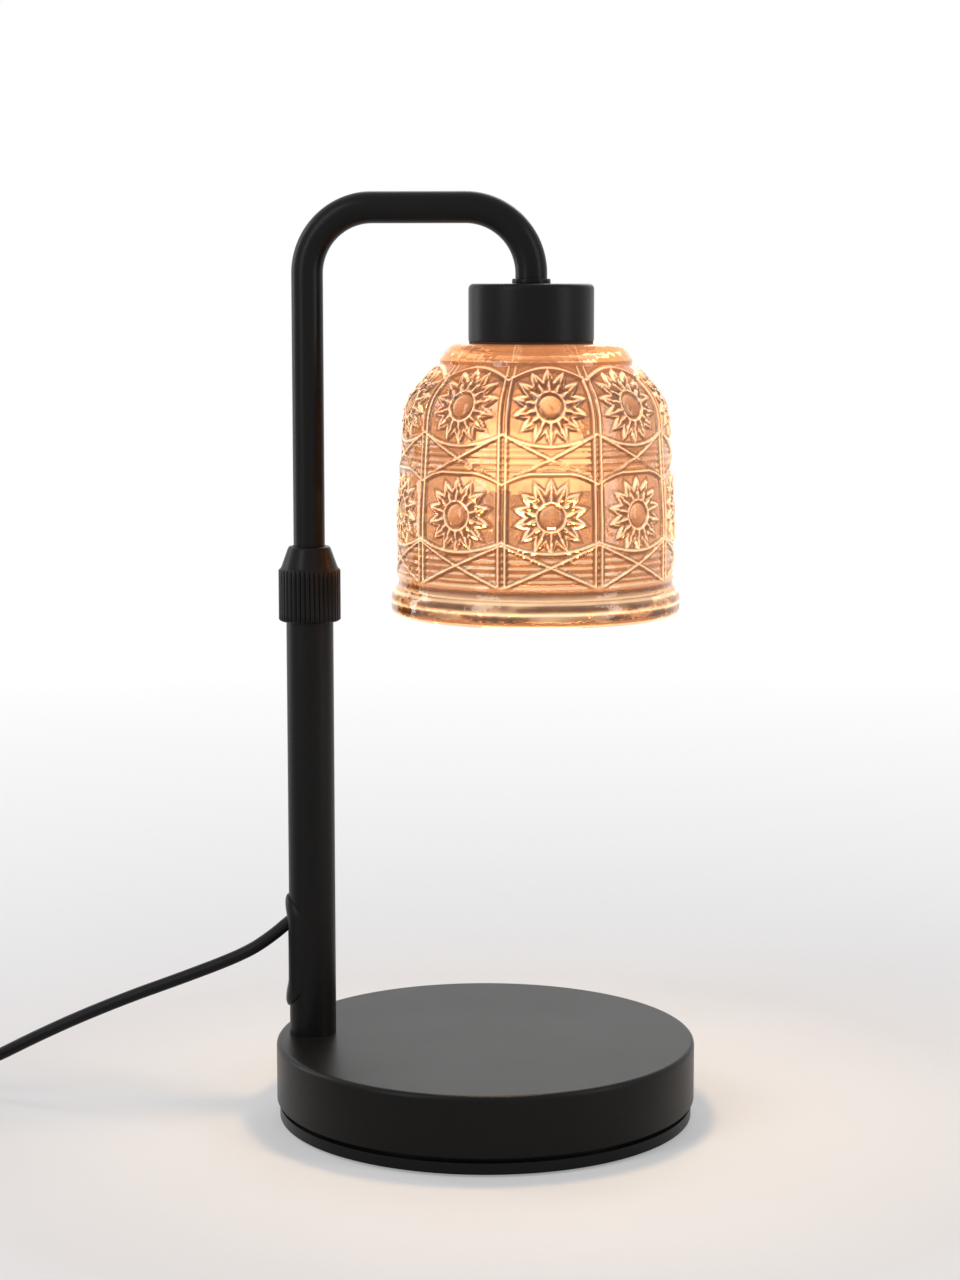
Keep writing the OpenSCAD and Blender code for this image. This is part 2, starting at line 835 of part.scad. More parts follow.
module cord_link() {
    color("#1b1b1d") swept_tube(along(link_route, rings_per_span), cord_r, cord_sides, [0, 0, 1]);
}

module cord_coil() {
    color("#1b1b1d") swept_tube(coil_path, cord_r, coil_sides, [0, 0, 1]);
}

module coil_tie() {
    color("#26262a")
        translate([coil_x, coil_y, 0])
            rotate(tie_angle)
                difference() {
                    translate([tie_in_r - tie_wall, -tie_w / 2, 0.05])
                        cube([tie_out_r - tie_in_r + 2 * tie_wall, tie_w, tie_top_z + tie_wall - 0.05]);
                    translate([tie_in_r, -tie_w, 0.05 + tie_wall])
                        cube([tie_out_r - tie_in_r, 2 * tie_w, tie_top_z - 0.05 - tie_wall]);
                }
}

// ---- Dimmer ----
module at_dimmer() {
    translate([dimmer_x, dimmer_y, 0]) rotate(-90) children();
}

module round_box(l, w, r, h) {
    linear_extrude(h)
        union() {
            square([l - 2 * r, w], center = true);
            square([l, w - 2 * r], center = true);
            for (sx = [-1, 1], sy = [-1, 1])
                translate([sx * (l / 2 - r), sy * (w / 2 - r)]) circle(r = r);
        }
}

// The two screw bosses, at opposite ends on one side
module dimmer_bosses() {
    for (s = [-1, 1])
        translate([s * boss_at[0], boss_at[1], 0]) children();
}

module cord_holes() {
    translate([-dimmer_l, 0, cord_entry_z])
        rotate([0, 90, 0]) cylinder(r = cord_r + 0.1, h = 2 * dimmer_l);
}

module dimmer_top() {
    color("#1a1a1c")
        at_dimmer()
            difference() {
                union() {
                    difference() {
                        union() {
                            translate([0, 0, split_z])
                                round_box(dimmer_l, dimmer_w, 7, dimmer_h - split_z - 1.2);
                            translate([0, 0, split_z])
                                round_box(dimmer_l - 2.4, dimmer_w - 2.4, 6, dimmer_h - split_z);
                        }
                        translate([0, 0, split_z - 1])
                            round_box(
                                dimmer_l - 2 * shell_wall,
                                dimmer_w - 2 * shell_wall,
                                5,
                                dimmer_h - split_z - 0.8
                            );
                    }
                    dimmer_bosses() translate([0, 0, shell_wall + 0.3])
                        cylinder(r = boss_r, h = dimmer_h - 2 * shell_wall);
                }
                dimmer_bosses() cylinder(r = 1.05, h = 10);
                translate([wheel_at - wheel_r - 0.8, -wheel_w / 2 - 0.6, split_z - 1])
                    cube([2 * wheel_r + 1.6, wheel_w + 1.2, 20]);
                cord_holes();
            }
}

module dimmer_bottom() {
    color("#161618")
        at_dimmer()
            difference() {
                round_box(dimmer_l, dimmer_w, 7, split_z);
                translate([0, 0, shell_wall])
                    round_box(dimmer_l - 2 * shell_wall, dimmer_w - 2 * shell_wall, 5, split_z);
                dimmer_bosses() translate([0, 0, -1]) cylinder(r = 1.1, h = 5);
                cord_holes();
            }
}

module dimmer_screws() {
    color("#a9abae")
        at_dimmer()
            dimmer_bosses() translate([0, 0, 0.3]) cylinder(r = 1, h = 9);
}

module dimmer_board() {
    color("#2c5b3a")
        at_dimmer()
            difference() {
                translate([board_x[0], -10.5, 4.2]) cube([board_x[1] - board_x[0], 21, 1.2]);
                translate([wheel_at - wheel_r - 0.8, -wheel_w / 2 - 0.6, 3])
                    cube([2 * wheel_r + 1.6, wheel_w + 1.2, 4]);
            }
}

module dimmer_pot() {
    color("#5d6166")
        at_dimmer() {
            translate([wheel_at - 4.5, wheel_w / 2 + 0.7, 5.4]) cube([9, 5, 9.6]);
            translate([wheel_at, wheel_w / 2 + 1, wheel_z])
                rotate([90, 0, 0]) cylinder(r = shaft_r, h = wheel_w + 1);
        }
}

module dimmer_wheel() {
    color("#2a2a2c")
        at_dimmer()
            translate([wheel_at, wheel_w / 2, wheel_z])
                rotate([90, 0, 0])
                    difference() {
                        linear_extrude(wheel_w) ridged_disc(wheel_r, 0.5, wheel_teeth);
                        translate([0, 0, -1]) cylinder(r = shaft_r + fit, h = wheel_w + 2);
                    }
}

module dimmer_reliefs() {
    color("#141416")
        at_dimmer()
            for (s = [-1, 1])
                translate([s * dimmer_l / 2, 0, cord_entry_z])
                    rotate([0, s * 90, 0]) cylinder(r1 = relief_big_r, r2 = relief_small_r, h = relief_l);
}

// ---- Plug ----
module at_plug(along_y) {
    translate([plug_x, plug_start_y + along_y, plug_z]) rotate([-90, 0, 0]) children();
}

module plug_relief() {
    color("#141416")
        at_plug(0) cylinder(r1 = relief_small_r, r2 = 5.2, h = plug_relief_l);
}

module plug_body() {
    color("#18181a")
        at_plug(plug_relief_l) {
            round_box(plug_w, 2 * plug_z, 5, plug_l - 6);
            translate([0, 0, plug_l - 6]) round_box(plug_w - 3, 2 * plug_z - 3, 4, 6);
        }
}

module plug_blades() {
    color("#c8b98a")
        at_plug(plug_relief_l + plug_l)
            for (s = [-1, 1])
                translate([s * blade_gap / 2 - blade_t / 2, -blade_w / 2, 0])
                    cube([blade_t, blade_w, blade_l]);
}

foot_pad();
base_plate();
base_screws();
base_weight();
base_shell();
post_bolt();
post_washer();
post_foot();
post_tube();
slot_bezel();
collet();
height_collar();
guide_bush();
arm_tube();
tube_clip();
entry_ring();
arm_nipple();
holder_cup();
nipple_spacer();
lock_nut();
socket_cup();
socket_insert();
socket_contacts();
arm_lead();
shade_gasket();
glass_shade();
shade_ring();
bulb_pins();
bulb_base();
bulb_reflector();
bulb_capsule();
bulb_lens();
riser_lead();
cord_stretch();
cord_link();
cord_coil();
coil_tie();
dimmer_top();
dimmer_bottom();
dimmer_screws();
dimmer_board();
dimmer_pot();
dimmer_wheel();
dimmer_reliefs();
plug_body();
plug_relief();
plug_blades();
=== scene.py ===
import json
import math

import bpy
import numpy as np
from bpy.props import FloatProperty, FloatVectorProperty, IntProperty, PointerProperty
from mathutils import Euler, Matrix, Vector


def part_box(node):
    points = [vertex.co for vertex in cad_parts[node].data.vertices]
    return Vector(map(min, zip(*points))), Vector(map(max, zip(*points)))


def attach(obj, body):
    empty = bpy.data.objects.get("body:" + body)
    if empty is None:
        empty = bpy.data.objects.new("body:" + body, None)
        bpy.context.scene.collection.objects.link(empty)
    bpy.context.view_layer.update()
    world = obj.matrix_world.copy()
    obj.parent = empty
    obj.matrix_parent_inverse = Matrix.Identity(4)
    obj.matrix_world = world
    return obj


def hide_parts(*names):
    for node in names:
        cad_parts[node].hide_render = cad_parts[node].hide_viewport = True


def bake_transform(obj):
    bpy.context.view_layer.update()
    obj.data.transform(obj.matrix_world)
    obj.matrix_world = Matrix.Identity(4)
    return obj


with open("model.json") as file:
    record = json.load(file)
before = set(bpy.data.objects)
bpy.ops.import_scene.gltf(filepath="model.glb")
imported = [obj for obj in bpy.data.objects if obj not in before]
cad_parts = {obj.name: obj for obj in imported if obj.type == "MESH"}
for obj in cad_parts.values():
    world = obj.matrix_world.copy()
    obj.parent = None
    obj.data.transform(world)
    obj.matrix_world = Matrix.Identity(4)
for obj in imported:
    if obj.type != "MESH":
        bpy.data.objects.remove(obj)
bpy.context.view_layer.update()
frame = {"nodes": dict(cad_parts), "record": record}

bl_info = {
    "name": "Candle warmer lamp",
    "version": (1, 0, 0),
    "blender": (4, 5, 0),
    "location": "View3D > Sidebar > Lamp",
    "description": "Dresses the packed lamp: powder coat, pressed glass, bulb, cords and a studio floor",
    "category": "Object",
}

MM = 0.001
TAU = 2 * math.pi


def axis_x(node):
    """Where a turned part's upright axis stands along X, in millimetres."""
    low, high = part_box(node)
    return (low.x + high.x) / 2 / MM


SHADE_X, HOLDER_X, POST_X = axis_x("glass_shade"), axis_x("holder_cup"), axis_x("guide_bush")

# Panels of the glass's pattern: how many, half of one's angle, and where one's middle stands
PANELS = 9
HALF_PANEL = math.pi / PANELS
FRONT_PANEL = math.radians(-80)

# The pattern's heights and sizes in mm, shared by the mesh's relief and the material's line work
PATTERN_LOW, PATTERN_HIGH = 195.2, 270.6
CROSSES = ((238.75, 8.25), (202.6, 7.5))        # middle of each pair of crossed lines, and its rise
LEVEL_RIDGES = (245, 243.4, 241.7, 239.9, 237.4, 235.3, 233.2, 209, 206.6, 204.2, 201.8, 199.4, 197.4)
ROSE_HEIGHTS = (256.2, 219.5)
RAYS = 14
STAR_TIP, STAR_NOTCH = 12.4, 4.0                # how far a ray's tip is out, and how deep the notch is
ROSE_RING = 5.0
RIB_OFFSET = 1.2                                # of each double rib's two lines, from their middle

# Post and cord slot, in mm
POST_R = 8.35
SLOT_Z = 58.6
BEZEL_SIZE, SLOT_SIZE, FLARE_SIZE, NECK_SIZE = (41, 16.4), (26, 7.6), (30, 7.6), (32, 10)
TUBE_END_Z = 127.0
ARM_BEND_R, ARM_BEND_Z = 23, 300.2
ARM_OUTER_R, ARM_INNER_R = 5.55, 4.55
RISER_BEND_R, RISER_BEND_Z, RISER_TURN, RISER_TOP_Z = 23.4, 86.7, 48, 126.8

# Dimmer and coil on the surface that the lamp stands on, in metres
DIMMER_X, CORD_Z = -0.29, 0.0085
COIL_X, COIL_Y = -0.234, -0.139
COIL_LOW, COIL_TURNS, COIL_STEPS = 0.0031, 3.125, 80
TIE_ANGLE = math.radians(135)
LOOPS_AT_TIE = (0.5, 2.5)       # where the innermost and the outermost loop pass the tie, in pitches

# Routes of the free cord, the same points as in the part's source, in metres
CORD_EXIT = (-0.072, 0, 0.0679)
STRETCH_ROUTE = [
    [-0.072, 0, 0.0679], [-0.077, 0, 0.0637], [-0.083, 0, 0.0594], [-0.089, 0, 0.0561],
    [-0.098, 0, 0.0521], [-0.112, 0, 0.0465], [-0.13, 0, 0.0395], [-0.148, 0, 0.0318],
    [-0.164, 0, 0.0242], [-0.179, 0.001, 0.0164], [-0.192, 0.004, 0.0098], [-0.204, 0.008, 0.005],
    [-0.217, 0.013, 0.0027], [-0.232, 0.018, 0.0024], [-0.248, 0.02, 0.0024], [-0.262, 0.019, 0.0024],
    [-0.275, 0.014, 0.003], [-0.285, 0.005, 0.005], [-0.289, -0.004, 0.0076],
    [-0.29, -0.012, 0.0085], [-0.29, -0.017, 0.0085],
]
LINK_ROUTE = [
    [-0.29, -0.113, 0.0085], [-0.29, -0.117, 0.0085], [-0.2885, -0.125, 0.0072], [-0.283, -0.133, 0.005],
    [-0.275, -0.1375, 0.0036], [-0.266, -0.139, 0.0032], [-0.256, -0.139, 0.0031],
    [-0.246, -0.139, 0.0031], [-0.2385, -0.139, 0.0031],
]


# ---------------------------------------------------------------- sizes and colours

class LampShape(bpy.types.PropertyGroup):
    relief: FloatProperty(
        name="Glass relief", description="Height of the pressed pattern over its ground",
        default=0.0012, min=0.0002, max=0.002, unit="LENGTH")
    glass_columns: IntProperty(
        name="Columns a panel", description="Mesh columns across one of the shade's panels",
        default=60, min=20, max=62)
    collar_ridges: IntProperty(
        name="Collar ridges", description="Ridges round the height collar", default=40, min=20, max=60)
    cord_diameter: FloatProperty(
        name="Cord diameter", description="Outer diameter of the mains cord",
        default=0.0045, min=0.004, max=0.005, unit="LENGTH")
    coil_inner: FloatProperty(
        name="Coil radius", description="Radius of the coil's smallest loop",
        default=0.019, min=0.015, max=0.03, unit="LENGTH")
    coil_pitch: FloatProperty(
        name="Coil pitch", description="Distance between neighbouring loops",
        default=0.0051, min=0.0046, max=0.006, unit="LENGTH")


class LampLook(bpy.types.PropertyGroup):
    coat: FloatVectorProperty(
        name="Powder coat", description="Colour of the base, post and holder",
        default=(0.0052, 0.0048, 0.0046), min=0, max=1, subtype="COLOR")
    cord: FloatVectorProperty(
        name="Cord", description="Colour of the cord's jacket",
        default=(0.006, 0.006, 0.0066), min=0, max=1, subtype="COLOR")
    # The glass's amber tint paints in the warm light of the lit bulb shining through it
    glass: FloatVectorProperty(
        name="Glass", description="Colour of the shade's glass",
        default=(0.64, 0.385, 0.21), min=0, max=1, subtype="COLOR")
    glow: FloatVectorProperty(
        name="Glow", description="Colour of the lit bulb",
        default=(1.0, 0.56, 0.22), min=0, max=1, subtype="COLOR")
    glow_strength: FloatProperty(
        name="Glow strength", description="Brightness of the bulb's face", default=45.0, min=0, max=200)
    floor: FloatVectorProperty(
        name="Floor", description="Colour of the floor",
        default=(0.80, 0.79, 0.78), min=0, max=1, subtype="COLOR")


def shape():
    return bpy.context.scene.lamp_shape


def look():
    return bpy.context.scene.lamp_look


# ---------------------------------------------------------------- surfaces

def surface(name, grid, closed=False, sharp=40):
    """Mesh object over a grid of rings, in metres: one quad between each pair of neighbours in both
    directions. A closed grid's last ring joins its first; any other grid ends in a fan of triangles
    to the mean point of its first and of its last ring."""
    rows, columns = grid.shape[:2]
    points = grid.reshape(-1, 3)
    i, j = np.meshgrid(np.arange(rows if closed else rows - 1), np.arange(columns), indexing="ij")
    after, above = (j + 1) % columns, (i + 1) % rows
    quads = np.stack([i * columns + j, i * columns + after, above * columns + after, above * columns + j], -1)
    faces = quads.reshape(-1, 4).tolist()
    if not closed:
        ring = np.arange(columns)
        following = (ring + 1) % columns
        low, high = np.full(columns, rows * columns), np.full(columns, rows * columns + 1)
        top = (rows - 1) * columns
        faces += np.stack([low, following, ring], -1).tolist()
        faces += np.stack([high, top + ring, top + following], -1).tolist()
        points = np.vstack([points, grid[0].mean(axis=0), grid[-1].mean(axis=0)])
    a, b, c, d = (points[quads.reshape(-1, 4)[:, k]] for k in range(4))
    volume = np.einsum("ij,ij", a, np.cross(b, c)) + np.einsum("ij,ij", a, np.cross(c, d))
    if volume < 0:
        faces = [face[::-1] for face in faces]
    mesh = bpy.data.meshes.new(name)
    mesh.from_pydata(points.tolist(), [], faces)
    mesh.shade_smooth()
    mesh.set_sharp_from_angle(angle=math.radians(sharp))
    obj = bpy.data.objects.new(name, mesh)
    bpy.context.scene.collection.objects.link(obj)
    return obj


def turned(outline, columns, x=0.0, bumps=None):
    """Grid of a turned part: each (radius, height) of the outline, in mm, goes round the vertical axis
    at x; bumps, if given, is a rows by columns array of mm that is added to the radius."""
    outline = np.asarray(outline, float)
    angle = np.linspace(0, TAU, columns, endpoint=False)
    radius = outline[:, :1] + (0 if bumps is None else bumps)
    radius, height = np.broadcast_arrays(radius, outline[:, 1:])
    radius = np.broadcast_to(radius, (len(outline), columns))
    height = np.broadcast_to(height, (len(outline), columns))
    return MM * np.stack([x + radius * np.cos(angle), radius * np.sin(angle), height], -1)


def rounded(corners, radii, steps=6):
    """Outline of (radius, height) points whose corners are replaced with quadratic curves: each runs
    from one radius before its corner to one radius after it, closed back to the first corner."""
    corners = np.asarray(corners, float)
    before, after = np.roll(corners, 1, axis=0), np.roll(corners, -1, axis=0)
    reach = np.asarray(radii, float)[:, None]

    def along(neighbours):
        """Points one radius away from the corners, towards their neighbours."""
        step = neighbours - corners
        return corners + reach * step / np.linalg.norm(step, axis=1, keepdims=True)

    start, end = along(before), along(after)
    t = np.linspace(0, 1, steps)[None, :, None]
    curve = (1 - t) ** 2 * start[:, None] + 2 * t * (1 - t) * corners[:, None] + t ** 2 * end[:, None]
    return curve.reshape(-1, 2)


def smooth_route(points, per_span):
    """Catmull-Rom curve through a route's points: a cubic on each span whose slope at a point is half
    the step between that point's neighbours; beyond both ends the route is mirrored, so it runs straight."""
    points = np.asarray(points, float)
    wide = np.vstack([2 * points[0] - points[1], points, 2 * points[-1] - points[-2]])
    a, b, c, d = (wide[k:len(wide) - 3 + k, None] for k in range(4))
    t = (np.arange(per_span) / per_span)[None, :, None]
    square, cube = 2 * a - 5 * b + 4 * c - d, 3 * b - a - 3 * c + d
    curve = 0.5 * (2 * b + (c - a) * t + square * t ** 2 + cube * t ** 3)
    return np.vstack([curve.reshape(-1, 3), points[-1:]])


def swept(path, radius, sides, level):
    """Grid of a round bar along a path: round each point, radius times the cosine and sine of the ring's
    angle along two directions square to the path, the first also square to level."""
    step = np.gradient(path, axis=0)
    along = step / np.linalg.norm(step, axis=1, keepdims=True)
    side = np.cross(along, level)
    side /= np.linalg.norm(side, axis=1, keepdims=True)
    up = np.cross(along, side)
    angle = np.linspace(0, TAU, sides, endpoint=False)[None, :, None]
    radius = np.broadcast_to(radius, len(path))[:, None, None]
    return path[:, None] + radius * (np.cos(angle) * side[:, None] + np.sin(angle) * up[:, None])


def coil_path(inner, pitch, turns, low, per_turn):
    """Flat spiral of two layers: radius is inner plus pitch times the turns away from the middle one, and
    height rises by one pitch over the half turn round the middle. Also gives the spiral's centre."""
    turn = np.linspace(0, 2 * turns, round(2 * turns * per_turn) + 1)
    radius = inner + pitch * np.abs(turn - turns)
    angle = TAU * turn - TAU / 4
    centre = np.array([COIL_X, COIL_Y + inner + turns * pitch])
    height = low + pitch * np.clip(2 * (turn - turns) + 0.5, 0, 1)
    loops = np.stack([centre[0] + radius * np.cos(angle), centre[1] + radius * np.sin(angle), height], -1)
    return loops, centre


# ---------------------------------------------------------------- materials

class Wire:
    """An output socket of a material's tree. Sums, products and powers of wires and numbers give wires."""

    def __init__(self, recipe, socket):
        self.recipe, self.socket = recipe, socket

    def maths(self, operation, *values):
        return self.recipe.add("ShaderNodeMath", 0, dict(enumerate(values)), operation=operation)

    def __add__(self, other):
        return self.maths("ADD", self, other)

    def __sub__(self, other):
        return self.maths("SUBTRACT", self, other)

    def __rsub__(self, other):
        return self.maths("SUBTRACT", other, self)

    def __mul__(self, other):
        return self.maths("MULTIPLY", self, other)

    def __truediv__(self, other):
        return self.maths("DIVIDE", self, other)

    def __rtruediv__(self, other):
        return self.maths("DIVIDE", other, self)

    def __pow__(self, other):
        return self.maths("POWER", self, other)

    def __abs__(self):
        return self.maths("ABSOLUTE", self)

    def __gt__(self, other):
        return self.maths("GREATER_THAN", self, other)

    __radd__, __rmul__ = __add__, __mul__

    def clipped(self):
        return self.maths("MINIMUM", self.maths("MAXIMUM", self, 0.0), 1.0)

    def least(self, *others):
        wire = self
        for other in others:
            wire = self.maths("MINIMUM", wire, other)
        return wire

    def past_whole(self):
        """How far a wire lies from the nearest whole number, with its sign."""
        return self - self.maths("ROUND", self)


class Recipe:
    """A material under construction. add puts in a node; every other method is a mix of added nodes."""

    def __init__(self, name):
        self.material = bpy.data.materials.new(name)
        self.material.use_nodes = True
        self.tree = self.material.node_tree
        self.tree.nodes.clear()

    def add(self, kind, output=0, inputs=(), **settings):
        node = self.tree.nodes.new(kind)
        for key, value in settings.items():
            setattr(node, key, value)
        for key, value in dict(inputs).items():
            if isinstance(value, Wire):
                self.tree.links.new(value.socket, node.inputs[key])
            else:
                node.inputs[key].default_value = value
        return Wire(self, node.outputs[output])

    def place(self):
        return self.add("ShaderNodeTexCoord", "Object")

    def split(self, vector):
        return [self.add("ShaderNodeSeparateXYZ", axis, {0: vector}) for axis in "XYZ"]

    def noise(self, scale, detail=2.0, vector=None):
        inputs = {"Vector": vector or self.place(), "Scale": scale, "Detail": detail}
        return self.add("ShaderNodeTexNoise", 0, inputs)

    def blend(self, factor, a, b):
        return self.add("ShaderNodeMix", 2, {0: factor, 6: a, 7: b}, data_type="RGBA")

    def bump(self, height, distance):
        return self.add("ShaderNodeBump", 0, {"Height": height, "Distance": distance, "Strength": 1.0})

    def off_axis(self, x_mm=0.0):
        """Distance from an upright axis at x, in metres."""
        x, y, _ = self.split(self.place())
        return ((x - x_mm * MM) ** 2 + y ** 2) ** 0.5

    def finish(self, shader):
        node = self.tree.nodes.new("ShaderNodeOutputMaterial")
        self.tree.links.new(shader.socket, node.inputs["Surface"])
        return self.material


def rgba(colour, gain=1.0):
    return tuple(min(c * gain, 1.0) for c in colour) + (1.0,)


def coated(name, colour, roughness, grain, depth, coat=0.0, metallic=0.0, shine=0.12):
    """Paint, plastic or metal with a fine grain in relief, slow changes of tone and uneven gloss."""
    r = Recipe(name)
    fine, slow = r.noise(grain, 3.0), r.noise(18.0, 2.0)
    return r.finish(r.add("ShaderNodeBsdfPrincipled", 0, {
        "Base Color": r.blend((slow * 1.6 - 0.3).clipped(), rgba(colour, 0.8), rgba(colour, 1.25)),
        "Roughness": roughness + (slow - 0.5) * 0.12 + (fine - 0.5) * 0.08,
        "Metallic": metallic,
        "Specular IOR Level": shine,
        "Coat Weight": coat,
        "Coat Roughness": 0.25,
        "Normal": r.bump(fine, depth),
    }))


def brushed(name, colour, roughness, axis_scale):
    """Metal with fine turning or drawing marks, stretched by a different scale along each axis."""
    r = Recipe(name)
    stretched = r.add("ShaderNodeMapping", 0, {"Vector": r.place(), "Scale": axis_scale})
    marks, slow = r.noise(1.0, 2.0, stretched), r.noise(60.0)
    return r.finish(r.add("ShaderNodeBsdfPrincipled", 0, {
        "Base Color": r.blend(slow, rgba(colour, 0.85), rgba(colour, 1.05)),
        "Roughness": roughness + (marks - 0.5) * 0.2,
        "Metallic": 1.0,
        "Normal": r.bump(marks, 0.00004),
    }))


def cell_borders(side):
    """Heights in mm of a panel's four arched borders, top to bottom, at a place -1 to 1 across it: each
    bows with the square of that place, but the third falls off only at its shoulders."""
    bow = side ** 2
    reach = (abs(side) - 0.375) / 0.625
    shoulders = (reach.clipped() if isinstance(reach, Wire) else np.clip(reach, 0, 1)) ** 1.5
    return [268.9 - 4.1 * bow, 243 + 4 * bow, 234 - 3.7 * shoulders, 207.3 + 3.7 * bow]


def drawn_lines(x, y, z):
    """The pressed pattern's line work for the glass's material, with the same curves as the mesh's relief:
    how near a point is to a crest, how far it lies down a flank or in a valley, and how near it is to a
    border between two panels, all 0 to 1."""
    far = 10.0
    off_x = x - SHADE_X * MM
    turn = (x.maths("ARCTAN2", y, off_x) - FRONT_PANEL) / (2 * HALF_PANEL)
    side = turn.past_whole() * 2
    out = abs(side)
    height = z / MM
    radius = (off_x ** 2 + y ** 2) ** 0.5 / MM
    to_rib = (1 - out) * HALF_PANEL * radius
    cells = cell_borders(side)
    first, *others = (abs(height - c) for c in cells)
    border = first.least(*others)
    above = ((cells[1] - height) * 4).clipped() * ((height - cells[2]) * 4).clipped()
    between = above + ((cells[3] - height) * 4).clipped()

    upper = height > 238
    (high_middle, high_rise), (low_middle, low_rise) = CROSSES
    middle = (high_middle - low_middle) * upper + low_middle
    rise = (high_rise - low_rise) * upper + low_rise
    crosses = abs(abs(height - middle) - rise * out) * 0.9 + (1 - between) * far
    ribs = abs(to_rib - RIB_OFFSET)

    high_rose, low_rose = ROSE_HEIGHTS
    across = side * HALF_PANEL * radius
    up = height - low_rose - (high_rose - low_rose) * upper
    rho = (across ** 2 + up ** 2) ** 0.5
    off = abs((across.maths("ARCTAN2", across, up) * RAYS / TAU).past_whole()) * 2
    arc = rho * (math.pi / RAYS)
    edge = STAR_TIP - STAR_NOTCH * off
    outside = ((rho - edge) * 3).clipped() + ((5.4 - rho) * 3).clipped()
    ridge = off * arc + outside * far
    star = (abs(edge - 0.4 - rho) * 0.5).least(ridge, abs(rho - ROSE_RING)) + between * far
    valley = (1 - (1 - off) * arc / 0.45).clipped() * (1 - outside).clipped() * (1 - between).clipped()

    nearest = border.least(crosses, ribs, star)
    # crest feeds the glass's painted highlights along the lines; flank, with valley and corner, feeds its
    # painted shade beside the lines, between a rosette's rays and in the corners over the top cells; crease
    # feeds painted highlights along the panel borders
    crest = (1 - nearest / 0.42).clipped()
    corner = ((height - cells[0] - 0.9) * 0.8).clipped() * 0.7
    flank = (1 - abs(nearest - 0.85) / 0.5).clipped() + valley + corner
    crease = (1 - abs(to_rib) / 0.45).clipped()
    return crest, flank.clipped(), crease


def pressed_glass(name, tint):
    """Clear pressed glass with light and shade painted into its colour: amber where it is thick, a tint that
    paints in the warm light of the lit bulb; painted shade in brown down the pattern's steep slopes and
    flanks, in its valleys and corners, along a line under the crown, round the neck and in patches on the
    rim; painted highlights pale along its crests, its slopes that face down and to one side, the panel
    borders on the crown and the rim's ledges; and a painted glow, brighter on the crown and warmest at the
    height of the bulb's face. Shadow rays pass it with a light tint, so that the bulb lights what stands
    round it."""
    r = Recipe(name)
    x, y, z = r.split(r.place())
    waves, melt = r.noise(140.0, 2.0), r.noise(420.0, 1.0)
    # lit and steep come from the mesh's relief: lit paints highlights on slopes that face down and to one
    # side, steep paints shade on steep slopes
    lit, steep, pattern = (
        r.add("ShaderNodeAttribute", "Fac", attribute_name=name) for name in ("lit", "steep", "pattern"))
    # crest paints highlights along the pattern's lines; flank paints shade beside them, in the valleys and in
    # the corners over the top cells; crease paints highlights along the panel borders
    crest, flank, crease = drawn_lines(x, y, z)
    crest, flank = crest * pattern, flank * pattern
    # crown: the smooth top band, where the painted glow is brighter
    crown = ((z - 0.264) / 0.006).clipped()

    def band(middle, half):
        """1 at a height in metres, down to 0 half a band's width away."""
        return (1.0 - ((z - middle) / half) ** 2).clipped()

    # Painted shade: a dark line under the crown and a dark band round the neck. Painted highlights: bright
    # lines along the rim's ledges and its bottom edge.
    crown_line_shade, neck = band(0.2701, 0.0007), band(0.1933, 0.0014)
    ledge_highlights = band(0.1905, 0.0006) + band(0.1869, 0.0005) + band(0.1829, 0.0006)
    # Painted shade in patches on the rim: two bands, dark where the stretched noise runs high in one and low
    # in the other
    stretched = r.add("ShaderNodeMapping", 0, {"Vector": r.place(), "Scale": (1, 1, 0.15)})
    streak = r.noise(60.0, 2.0, stretched) * 6.0
    rim = band(0.1852, 0.0013) * (streak - 2.2).clipped() + band(0.1886, 0.0012) * (3.8 - streak).clipped()
    ripple = (waves - 0.5) * 0.6
    # All painted shade added up, then lightened where painted highlights fall; ripple adds random tone
    painted_shade = steep * 0.7 + flank * 0.75 + crown_line_shade * 1.3 + neck * 0.8 + rim * 1.1
    shade = (painted_shade - lit * 0.9 - crest + ripple).clipped()
    # Painted highlights, and a painted glow in a band at the height of the bulb's face, with noise
    edges = lit * 0.5 + crest * 0.75 + crease * crown * 0.5 + ledge_highlights * 0.7
    glow = band(0.228, 0.05) * 0.15 + (waves - 0.6) * 0.4
    pale = (edges + glow - shade * 0.8).clipped()
    # The glass's emission is a painted glow: dim orange, brighter on the crown, cream where painted
    # highlights fall; painted shade darkens the amber tint in Base Color
    under = r.blend(crown, rgba((1.0, 0.38, 0.13), 0.07), rgba((1.0, 0.37, 0.11), 0.24))
    body = r.add("ShaderNodeBsdfPrincipled", 0, {
        "Base Color": r.blend(shade, rgba(tint), rgba(tuple(c ** 2 for c in tint), 0.12)),
        "Roughness": 0.01 + melt * 0.02,
        "IOR": 1.5,
        "Transmission Weight": 1.0,
        "Emission Color": r.blend(pale, under, rgba((0.85, 0.62, 0.39))),
        "Emission Strength": 1.0,
        "Normal": r.bump(waves * 0.9 + melt * 0.1, 0.0006),
    })
    passing = r.add("ShaderNodeBsdfTransparent", 0, {0: rgba(tint, 0.95)})
    shadow = r.add("ShaderNodeLightPath", "Is Shadow Ray")
    return r.finish(r.add("ShaderNodeMixShader", 0, {0: shadow, 1: body, 2: passing}))


